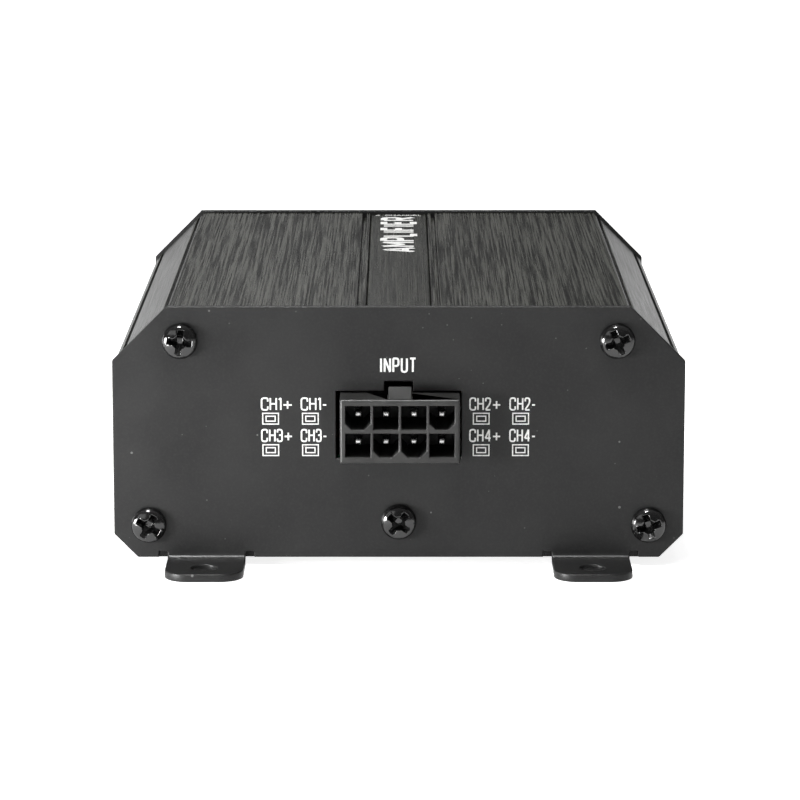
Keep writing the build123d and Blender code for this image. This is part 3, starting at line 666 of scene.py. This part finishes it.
@dataclass(frozen=True)
class EdgeWork:
    """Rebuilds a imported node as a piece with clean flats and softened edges, radius in millimetres."""

    radius: float
    segments: int = 2
    sharp: float = math.radians(14)

    def soften(self, frame: dict, node: str, shade: Shade, body: str = HOUSING) -> Piece:
        """Makes the finer piece, which then stands for the node.

        Args:
            frame: The loaded frame.
            node: The node's name.
            shade: The finish.
            body: The body that it moves with.

        Returns:
            The new piece.
        """
        work = bmesh.new()
        work.from_mesh(frame["nodes"][node].data)
        bmesh.ops.remove_doubles(work, verts=work.verts, dist=WELD * MM)
        bmesh.ops.dissolve_limit(work, angle_limit=FLAT, verts=work.verts, edges=work.edges)
        edges = [e for e in work.edges if len(e.link_faces) == 2 and e.calc_face_angle() > self.sharp]
        bmesh.ops.bevel(
            work, geom=edges, offset=self.radius * MM, offset_type="OFFSET",
            segments=self.segments, profile=0.5, affect="EDGES", clamp_overlap=False,
        )
        for face in work.faces:
            face.smooth = True
        mesh = bpy.data.meshes.new(node + "_finished")
        work.to_mesh(mesh)
        work.free()
        piece = bpy.data.objects.new(node + "_finished", mesh)
        bpy.context.scene.collection.objects.link(piece)
        weighted = piece.modifiers.new("flat_shading", "WEIGHTED_NORMAL")
        weighted.weight = 80
        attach(piece, body)
        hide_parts(node)
        shade.dress(piece)
        LOG.info("%s: %d faces, edges softened by %.2f mm", node, len(mesh.polygons), self.radius)
        return piece


# ---- Printed legends ----------------------------------------------------------------------


# Each letter: its width, and its lines inside a capital of height 1.
GLYPHS: dict[str, tuple[float, list[list[Point]]]] = {
    "A": (0.50, [[(0, 0), (0.25, 1), (0.5, 0)], [(0.09, 0.28), (0.41, 0.28)]]),
    "C": (0.47, [[(0.47, 0.70), (0.47, 1), (0, 1), (0, 0), (0.47, 0), (0.47, 0.30)]]),
    "E": (0.36, [[(0.36, 1), (0, 1)], [(0, 1), (0, 0)], [(0, 0), (0.36, 0)], [(0, 0.52), (0.32, 0.52)]]),
    "F": (0.36, [[(0.36, 1), (0, 1)], [(0, 1), (0, 0)], [(0, 0.50), (0.32, 0.50)]]),
    "G": (0.44, [[(0.44, 0.72), (0.44, 1), (0, 1), (0, 0), (0.44, 0), (0.44, 0.48)],
                 [(0.44, 0.48), (0.24, 0.48)]]),
    "H": (0.45, [[(0, 0), (0, 1)], [(0.45, 0), (0.45, 1)], [(0, 0.52), (0.45, 0.52)]]),
    "I": (0.06, [[(0.03, 0), (0.03, 1)]]),
    "L": (0.34, [[(0, 1), (0, 0)], [(0, 0), (0.34, 0)]]),
    "M": (0.56, [[(0, 0), (0, 1)], [(0, 1), (0.28, 0.3), (0.56, 1)], [(0.56, 1), (0.56, 0)]]),
    "N": (0.44, [[(0, 0), (0, 1)], [(0, 1), (0.44, 0)], [(0.44, 0), (0.44, 1)]]),
    "O": (0.44, [[(0.22, 1), (0, 1), (0, 0), (0.44, 0), (0.44, 1), (0.22, 1)]]),
    "P": (0.42, [[(0, 0), (0, 1)], [(0, 1), (0.42, 1), (0.42, 0.44), (0, 0.44)]]),
    "R": (0.44, [[(0, 0), (0, 1)], [(0, 1), (0.42, 1), (0.42, 0.48), (0, 0.48)], [(0.2, 0.48), (0.44, 0)]]),
    "S": (0.42, [[(0.42, 0.74), (0.42, 1), (0, 1), (0, 0.52), (0.42, 0.52), (0.42, 0), (0, 0), (0, 0.26)]]),
    "T": (0.44, [[(0, 1), (0.44, 1)], [(0.22, 1), (0.22, 0)]]),
    "U": (0.42, [[(0, 1), (0, 0), (0.42, 0), (0.42, 1)]]),
    "1": (0.15, [[(0, 0.86), (0.15, 1)], [(0.15, 1), (0.15, 0)]]),
    "2": (0.40, [[(0, 0.72), (0, 1), (0.40, 1), (0.40, 0.58), (0, 0.02)], [(0, 0), (0.40, 0)]]),
    "3": (0.40, [[(0, 0.76), (0, 1), (0.40, 1), (0.40, 0.53), (0.14, 0.53)],
                 [(0.14, 0.53), (0.40, 0.53), (0.40, 0), (0, 0), (0, 0.24)]]),
    "4": (0.44, [[(0.34, 0), (0.34, 1)], [(0.34, 1), (0, 0.27)], [(0, 0.27), (0.46, 0.27)]]),
    "+": (0.64, [[(0, 0.42), (0.64, 0.42)], [(0.32, 0.10), (0.32, 0.74)]]),
    "-": (0.27, [[(0, 0.42), (0.27, 0.42)]]),
    " ": (0.26, []),
}


def rounded(points: Sequence[Point], radius: float, steps: int = 4) -> list[Point]:
    """Rounds the corners between the first and the last point.

    Args:
        points: The line's corners.
        radius: How far from a corner its round starts, at most.
        steps: Pieces in each round.

    Returns:
        The points of the rounded line.
    """
    made = [Vector(points[0])]
    for before, corner, after in zip(points, points[1:], points[2:]):
        before, corner, after = Vector(before), Vector(corner), Vector(after)
        reach = min(radius, (corner - before).length / 2, (after - corner).length / 2)
        start = corner + (before - corner).normalized() * reach
        end = corner + (after - corner).normalized() * reach
        for i in range(steps + 1):
            t = i / steps
            made.append(start * (1 - t) ** 2 + corner * 2 * t * (1 - t) + end * t * t)
    made.append(Vector(points[-1]))
    return [(p.x, p.y) for i, p in enumerate(made) if i == 0 or (p - made[i - 1]).length > 1e-6]


@dataclass
class Print:
    """Screen print on one flat face: every stroke is a thin layer of ink.

    Fields:
        name: The piece's name.
        place: Turns a print's right and up, in millimetres, and its height off the face into X, Y, Z.
        thick: Thickness of the ink, in millimetres.
        corner: Reach of a letter's rounded corners, as a share of its height.
        work: The mesh being printed.
        strokes: How many strokes it has so far.
    """

    name: str
    place: Callable[[float, float, float], tuple[float, float, float]]
    thick: float = 0.025
    corner: float = 0.2
    work: bmesh.types.BMesh = field(default_factory=bmesh.new)
    strokes: int = 0

    def stroke(self, points: Sequence[Point], width: float, closed: bool = False) -> None:
        """Lays one ribbon of ink along a line.

        Args:
            points: The line, in millimetres right and up.
            width: The ribbon's width in millimetres.
            closed: Whether the last point joins the first.
        """
        line = [Vector(p) for p in points]
        count = len(line)
        top = self.thick + 0.0004 * (self.strokes % 7)
        self.strokes += 1
        rails: list[list[bmesh.types.BMVert]] = []
        for i, point in enumerate(line):
            before = line[i - 1] if closed or i else None
            after = line[(i + 1) % count] if closed or i + 1 < count else None
            ways = [(b - a).normalized() for a, b in ((before, point), (point, after)) if a and b]
            along = sum(ways[1:], ways[0]).normalized()
            across = Vector((-along.y, along.x))
            half = width / 2 / max(0.5, abs(along.dot(ways[0])))
            sides = [point + across * half, point - across * half]
            rails.append([self.vertex(p, h) for h in (0.0, top) for p in sides])
        pairs = list(zip(rails, rails[1:] + rails[:1])) if closed else list(zip(rails, rails[1:]))
        for (a0, a1, a2, a3), (b0, b1, b2, b3) in pairs:
            for loop in ((a2, a3, b3, b2), (a1, a0, b0, b1), (a0, a2, b2, b0), (a3, a1, b1, b3)):
                self.work.faces.new(loop)
        if not closed:
            self.work.faces.new([rails[0][i] for i in (0, 1, 3, 2)])
            self.work.faces.new([rails[-1][i] for i in (2, 3, 1, 0)])

    def vertex(self, point: Vector, height: float) -> bmesh.types.BMVert:
        """One corner of the ink, placed on the face."""
        return self.work.verts.new([value * MM for value in self.place(point.x, point.y, height)])

    def word(self, text: str, left: float, base: float, height: float, weight: float, wide: float = 1.0,
             fit: float | None = None) -> float:
        """Prints a word from a left end.

        Args:
            text: The word.
            left: Right-hand coordinate of its left end, in millimetres.
            base: Height of its foot, in millimetres.
            height: Height of its capitals.
            weight: Stroke width.
            wide: Width of the letters against their usual width.
            fit: Full width to fill, if the width is given.

        Returns:
            The right-hand coordinate of its right end.
        """
        gap = LETTER_GAP * weight
        inner = height - weight
        if fit is not None:
            widths = sum(GLYPHS[letter][0] for letter in text) * inner
            wide = (fit - weight - gap * (len(text) - 1)) / widths
        x = left + weight / 2
        for letter in text:
            width, lines = GLYPHS[letter]
            for line in lines:
                placed = [(x + u * wide * inner, base + weight / 2 + v * inner) for u, v in line]
                self.stroke(rounded(placed, height * self.corner), weight)
            x += width * wide * inner + gap
        return x - gap + weight / 2

    def frame(self, left: float, base: float, width: float, height: float, weight: float) -> None:
        """Prints a rectangle's outline.

        Args:
            left: Right-hand coordinate of its left edge, in millimetres.
            base: Height of its lower edge.
            width: Its full width.
            height: Its full height.
            weight: Stroke width.
        """
        half = weight / 2
        right, top = left + width - half, base + height - half
        self.stroke([(left + half, base + half), (right, base + half), (right, top), (left + half, top)],
                    weight, closed=True)

    def arc(self, centre: Point, radius: float, start: float, end: float, weight: float,
            steps: int = 20) -> None:
        """Prints an arc.

        Args:
            centre: Its centre, in millimetres right and up.
            radius: Its radius in millimetres.
            start: Where it starts, in degrees from the right.
            end: Where it ends, in degrees from the right.
            weight: Stroke width.
            steps: Pieces along it.
        """
        turns = [math.radians(start + (end - start) * i / steps) for i in range(steps + 1)]
        line = [(centre[0] + radius * math.cos(t), centre[1] + radius * math.sin(t)) for t in turns]
        self.stroke(line, weight)

    def finish(self, shade: Shade) -> Piece:
        """Turns the ink into a piece on the housing.

        Args:
            shade: The ink's finish.

        Returns:
            The piece.
        """
        bmesh.ops.recalc_face_normals(self.work, faces=self.work.faces)
        mesh = bpy.data.meshes.new(self.name)
        self.work.to_mesh(mesh)
        self.work.free()
        piece = bpy.data.objects.new(self.name, mesh)
        bpy.context.scene.collection.objects.link(piece)
        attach(piece, HOUSING)
        shade.dress(piece)
        LOG.info("%s: %d strokes", self.name, self.strokes)
        return piece


# ---- Sub-assemblies -----------------------------------------------------------------------


@dataclass
class Enclosure:
    """The extrusion, its badge and bottom panel, both end plates and their screws."""

    frame: dict
    sheet_edge: float = 0.16
    profile_edge: float = 0.07
    badge_edge: float = 0.10
    panel_edge: float = 0.12
    screw_edge: float = 0.07

    def build(self) -> None:
        """Softens and dresses every piece of the enclosure."""
        EdgeWork(self.profile_edge).soften(self.frame, "heatsink_extrusion", Shade.PROFILE)
        EdgeWork(self.badge_edge).soften(self.frame, "badge_strip", Shade.BADGE)
        EdgeWork(self.panel_edge).soften(self.frame, "bottom_panel", Shade.PROFILE)
        for end in ("front", "rear"):
            EdgeWork(self.sheet_edge, 3).soften(self.frame, f"{end}_end_plate", Shade.SHEET)
            EdgeWork(self.screw_edge).soften(self.frame, f"{end}_plate_screws", Shade.SCREW)


@dataclass
class FrontLegend:
    """The print on the input end: a heading, and a name and a terminal mark for each channel wire."""

    heading_left: float = -2.855
    heading_width: float = 5.55
    heading_height: float = 2.35
    heading_base: float = 29.7
    heading_weight: float = 0.30
    text_height: float = 2.05
    text_weight: float = 0.24
    rows: tuple[float, float] = (23.9, 19.05)
    mark_drop: float = 2.15
    mark_size: tuple[float, float] = (2.54, 1.83)
    mark_inset: tuple[float, float] = (0.5, 0.45)
    mark_weight: float = 0.17
    columns: tuple[tuple[float, float, float], ...] = (
        (-20.8, 4.8, -20.6), (-14.8, 4.0, -14.6), (10.65, 4.8, 11.2), (16.7, 4.0, 17.15),
    )

    def build(self) -> None:
        """Prints the whole legend."""
        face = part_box("heatsink_extrusion")[0].y / MM - SHEET
        ink = Print("front_legend", lambda right, up, off: (right, face - off, up))
        ink.word("INPUT", self.heading_left, self.heading_base, self.heading_height, self.heading_weight,
                 fit=self.heading_width)
        for row, base in enumerate(self.rows):
            for column, (text_left, width, mark_left) in enumerate(self.columns):
                channel = 1 + 2 * row + (column > 1)
                name = f"CH{channel}" + ("+", "-")[column % 2]
                ink.word(name, text_left, base, self.text_height, self.text_weight, fit=width)
                self.mark(ink, mark_left, base - self.mark_drop)
        ink.finish(Shade.INK)

    def mark(self, ink: Print, left: float, base: float) -> None:
        """Prints one terminal mark: a small rectangle in a larger one.

        Args:
            ink: The print to add to.
            left: Its left edge.
            base: Its lower edge.
        """
        width, height = self.mark_size
        across, up = self.mark_inset
        ink.frame(left, base, width, height, self.mark_weight)
        ink.frame(left + across, base + up, width - 2 * across, height - 2 * up, self.mark_weight)


@dataclass
class BadgeLegend:
    """Plain white wording on the badge strip, read from its side."""

    start: float = 6.2
    length: float = 40.8
    height: float = 6.3
    weight: float = 1.2
    small_gap: float = 1.7
    small_length: float = 8.2
    small_height: float = 1.15
    small_weight: float = 0.17

    def build(self) -> None:
        """Prints the word and the small line behind it."""
        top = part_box("badge_strip")[1].z / MM
        ink = Print("badge_legend", lambda right, up, off: (-up, right, top + off))
        ink.word("AMPLIFIER", self.start, -self.height / 2, self.height, self.weight, fit=self.length)
        small = Print("badge_small_legend", lambda right, up, off: (right, up, top + off))
        small.word("4 CHANNEL", -self.small_length / 2, self.start + self.length + self.small_gap,
                   self.small_height, self.small_weight, fit=self.small_length)
        ink.finish(Shade.INK)
        small.finish(Shade.INK)


@dataclass
class RearLegend:
    """The print on the power end: names of the controls and an arc with ticks round each gain."""

    text_height: float = 1.5
    weight: float = 0.2
    base: float = 27.6
    setup_base: float = 14.2
    output_base: float = 30.2
    output_height: float = 2.2
    output_weight: float = 0.3
    arc_radius: float = 3.05
    arc_start: float = -50.0
    arc_sweep: float = 280.0
    ticks: int = 11
    tick_ends: tuple[float, float] = (3.1, 3.7)
    fine_weight: float = 0.14

    def build(self) -> None:
        """Prints the whole legend, read from behind."""
        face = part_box("heatsink_extrusion")[1].y / MM + SHEET
        ink = Print("rear_legend", lambda right, up, off: (-right, face + off, up))
        for letter in "ab":
            centre = self.middle(f"gain_shaft_{letter}")
            self.dial(ink, centre)
            self.centred(ink, "GAIN", centre[0], self.base)
        for node, name in (("mode_slider_a", "LO"), ("mode_slider_b", "HI"), ("microphone_jack_nut", "MIC")):
            self.centred(ink, name, self.middle(node)[0], self.base)
        self.centred(ink, "SETUP", self.middle("setup_button")[0], self.setup_base)
        self.centred(ink, "OUTPUT", self.middle("power_header_housing")[0], self.output_base,
                     self.output_height, self.output_weight)
        ink.finish(Shade.INK)

    def middle(self, node: str) -> Point:
        """Where a node's middle stands on the print, in millimetres right and up."""
        low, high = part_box(node)
        return -(low.x + high.x) / 2 / MM, (low.z + high.z) / 2 / MM

    def centred(self, ink: Print, text: str, middle: float, base: float, height: float = 0.0,
                weight: float = 0.0) -> None:
        """Prints a word about a middle.

        Args:
            ink: The print to add to.
            text: The word.
            middle: Where its middle goes.
            base: Height of its foot.
            height: Height of its capitals, or 0 for the usual one.
            weight: Stroke width, or 0 for the usual one.
        """
        height, weight = height or self.text_height, weight or self.weight
        inner = sum(GLYPHS[letter][0] for letter in text) * (height - weight)
        width = inner + weight + LETTER_GAP * weight * (len(text) - 1)
        ink.word(text, middle - width / 2, base, height, weight)

    def dial(self, ink: Print, centre: Point) -> None:
        """Prints an arc with its ticks round a gain shaft.

        Args:
            ink: The print to add to.
            centre: The shaft's middle on the print.
        """
        end = self.arc_start + self.arc_sweep
        ink.arc(centre, self.arc_radius, self.arc_start, end, self.fine_weight)
        for i in range(self.ticks):
            turn = math.radians(self.arc_start + self.arc_sweep * i / (self.ticks - 1))
            way = (math.cos(turn), math.sin(turn))
            line = [(centre[0] + r * way[0], centre[1] + r * way[1]) for r in self.tick_ends]
            ink.stroke(line, self.fine_weight)


@dataclass
class Connectors:
    """Both headers with their pins, and the microphone jack."""

    frame: dict
    housing_edge: float = 0.13
    pin_edge: float = 0.05
    jack_edge: float = 0.10
    nut_edge: float = 0.08

    def build(self) -> None:
        """Softens and dresses the connectors."""
        for end in ("input", "power"):
            EdgeWork(self.housing_edge).soften(self.frame, f"{end}_header_housing", Shade.HEADER)
            EdgeWork(self.pin_edge, 1).soften(self.frame, f"{end}_header_pins", Shade.CONTACT)
        EdgeWork(self.jack_edge).soften(self.frame, "microphone_jack", Shade.CONTROL)
        EdgeWork(self.nut_edge).soften(self.frame, "microphone_jack_nut", Shade.NICKEL)


@dataclass
class Controls:
    """What a hand or a screwdriver moves, with the bodies behind the plate."""

    frame: dict
    moulded_edge: float = 0.08
    slide_edge: float = 0.06
    button_edge: float = 0.05

    def build(self) -> None:
        """Softens and dresses the controls; each moving piece rides on its own body."""
        for letter in "ab":
            shaft, slider = f"gain_shaft_{letter}", f"mode_slider_{letter}"
            EdgeWork(self.moulded_edge).soften(self.frame, shaft, Shade.SHAFT, shaft)
            EdgeWork(self.slide_edge).soften(self.frame, slider, Shade.SLIDER, slider)
        EdgeWork(self.button_edge).soften(self.frame, "setup_button", Shade.BUTTON, "setup_button")
        EdgeWork(self.moulded_edge).soften(self.frame, "gain_control_bodies", Shade.CONTROL)
        EdgeWork(self.slide_edge).soften(self.frame, "mode_switch_bodies", Shade.SWITCH)
        EdgeWork(self.moulded_edge).soften(self.frame, "setup_switch_body", Shade.CONTROL)


@dataclass
class Electronics:
    """The board and all that stands on it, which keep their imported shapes."""

    frame: dict
    finishes: dict[str, Shade] = field(default_factory=lambda: {
        "insulating_film": Shade.POLYESTER, "board_screws": Shade.ZINC, "heat_block_screws": Shade.ZINC,
        "status_led": Shade.LIGHT, "led_light_pipe": Shade.CLEAR, "main_circuit_board": Shade.BOARD,
        "amplifier_chips": Shade.EPOXY, "thermal_pads": Shade.SILICONE, "heat_transfer_block": Shade.MILLED,
        "supply_capacitors": Shade.SLEEVE, "choke_core": Shade.FERRITE, "choke_winding": Shade.COPPER,
        "choke_base": Shade.CONTROL, "output_inductors": Shade.FERRITE,
        "output_filter_capacitors": Shade.FILM_BOX, "converter_transistors": Shade.EPOXY,
        "signal_processor_chip": Shade.EPOXY, "converter_chip": Shade.EPOXY,
        "input_amplifier_chips": Shade.EPOXY, "clock_crystal": Shade.NICKEL,
        "chip_capacitors": Shade.CERAMIC, "chip_resistors": Shade.EPOXY,
    })

    def build(self) -> None:
        """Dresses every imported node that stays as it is."""
        for node, shade in self.finishes.items():
            shade.dress(self.frame["nodes"][node])
            LOG.info("%s: %s", node, shade.name)


# ---- Studio -------------------------------------------------------------------------------


class SoftBox(NamedTuple):
    """A rectangular lamp: where it stands and its size, in metres, and its power in watts."""

    name: str
    place: tuple[float, float, float]
    size: tuple[float, float]
    power: float


@dataclass
class Studio:
    """Camera, pale floor, surroundings and soft lights."""

    distance: float = 0.6061
    height: float = 0.1324
    tilt: float = 10.92
    lens: float = 168.3
    sensor: float = 36.0
    shift: float = 0.0017
    clip: tuple[float, float] = (0.01, 20.0)
    reach: float = 6.0
    floor_low: Colour = (0.73, 0.73, 0.73)
    floor_high: Colour = (0.76, 0.76, 0.76)
    floor_glow: tuple[float, float] = (0.0, 0.85)
    sky: tuple[tuple[float, float], ...] = ((0.0, 0.6), (0.03, 0.5), (0.09, 0.06), (0.5, 0.10), (1.0, 0.25))
    aim: tuple[float, float, float] = (0.0, 0.0, 0.02)
    lamps: tuple[SoftBox, ...] = (
        SoftBox("crown_box", (-0.12, -0.3, 1.1), (0.2, 0.12), 12.5),
        SoftBox("top_box", (-0.1, 0.6, 1.1), (0.5, 0.3), 4.0),
        SoftBox("front_box", (-0.8, -1.2, 0.75), (0.9, 0.5), 1.1),
        SoftBox("left_box", (-0.2, -0.16, 0.025), (0.1, 0.05), 0.95),
        SoftBox("right_box", (1.2, -0.4, 0.5), (0.3, 1.0), 0.1),
        SoftBox("back_box", (-0.09, 1.5, 0.5), (0.2, 0.2), 0.12),
    )

    def camera(self) -> None:
        """A long lens at the input end, a little above it, looking down."""
        data = bpy.data.cameras.new("camera")
        data.lens = self.lens
        data.sensor_width = self.sensor
        data.shift_x = self.shift
        data.clip_start, data.clip_end = self.clip
        eye = bpy.data.objects.new("camera", data)
        eye.location = (0.0, -self.distance, self.height)
        eye.rotation_euler = (math.radians(90 - self.tilt), 0.0, 0.0)
        bpy.context.scene.collection.objects.link(eye)
        bpy.context.scene.camera = eye

    def floor(self) -> None:
        """A wide pale floor under the tabs, bright enough to stand as plain white."""
        mesh = bpy.data.meshes.new("floor")
        ends = [(x * self.reach, y * self.reach, 0) for x, y in ((-1, -1), (1, -1), (1, 1), (-1, 1))]
        mesh.from_pydata(ends, [], [(0, 1, 2, 3)])
        plane = bpy.data.objects.new("floor", mesh)
        plane.location.z = -FLOOR_GAP
        bpy.context.scene.collection.objects.link(plane)
        graph = Graph("studio_floor")
        tone = graph.blend(graph.noise(graph.place(), 3.0, 2.0), self.floor_low, self.floor_high)
        graph.feed("Base Color", tone)
        seen = graph.node("ShaderNodeLightPath").outputs["Is Camera Ray"]
        graph.feed("Emission Strength", graph.span(seen, *self.floor_glow))
        graph.surface(Roughness=0.9, Specular_IOR_Level=0.1, Emission_Color=(1, 1, 1, 1))
        mesh.materials.append(graph.material)

    def surroundings(self) -> None:
        """A white horizon, darker just above it, and plain white where the camera looks at it."""
        world = bpy.data.worlds.new("studio")
        bpy.context.scene.world = world
        world.use_nodes = True
        tree = world.node_tree
        tree.nodes.clear()
        at = tree.nodes.new("ShaderNodeTexCoord")
        parts = tree.nodes.new("ShaderNodeSeparateXYZ")
        tree.links.new(at.outputs["Generated"], parts.inputs[0])
        ramp = tree.nodes.new("ShaderNodeValToRGB")
        elements = ramp.color_ramp.elements
        while len(elements) < len(self.sky):
            elements.new(0.5)
        for element, (position, value) in zip(elements, self.sky):
            element.position = position
            element.color = (value, value, value, 1)
        tree.links.new(parts.outputs["Z"], ramp.inputs["Fac"])
        seen = tree.nodes.new("ShaderNodeLightPath")
        mix = tree.nodes.new("ShaderNodeMix")
        mix.data_type = "RGBA"
        entries = [s for s in mix.inputs if s.type == "RGBA"]
        tree.links.new(seen.outputs["Is Camera Ray"], mix.inputs["Factor"])
        tree.links.new(ramp.outputs["Color"], entries[0])
        entries[1].default_value = (1, 1, 1, 1)
        glow = tree.nodes.new("ShaderNodeBackground")
        tree.links.new(next(s for s in mix.outputs if s.type == "RGBA"), glow.inputs["Color"])
        output = tree.nodes.new("ShaderNodeOutputWorld")
        tree.links.new(glow.outputs["Background"], output.inputs["Surface"])

    def lamp(self, lamp: SoftBox) -> None:
        """Adds a soft box aimed at the amplifier.

        Args:
            lamp: The soft box.
        """
        data = bpy.data.lights.new(lamp.name, "AREA")
        data.shape = "RECTANGLE"
        data.size, data.size_y = lamp.size
        data.energy = lamp.power
        box = bpy.data.objects.new(lamp.name, data)
        box.location = lamp.place
        box.visible_camera = False
        way = Vector(self.aim) - Vector(lamp.place)
        box.rotation_euler = way.to_track_quat("-Z", "Y").to_euler()
        bpy.context.scene.collection.objects.link(box)

    def build(self) -> None:
        """Sets the whole studio up."""
        bpy.context.scene.view_settings.view_transform = "Standard"
        self.floor()
        self.surroundings()
        for lamp in self.lamps:
            self.lamp(lamp)
        LOG.info("studio: camera, floor, surroundings and %d soft boxes", len(self.lamps))


def main() -> None:
    """Builds the amplifier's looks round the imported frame, in order."""
    logging.basicConfig(level=logging.INFO, format="%(name)s: %(message)s")
    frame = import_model()
    studio = Studio()
    studio.camera()
    studio.build()
    Enclosure(frame).build()
    FrontLegend().build()
    BadgeLegend().build()
    RearLegend().build()
    Connectors(frame).build()
    Controls(frame).build()
    Electronics(frame).build()


if __name__ == "__main__":
    main()
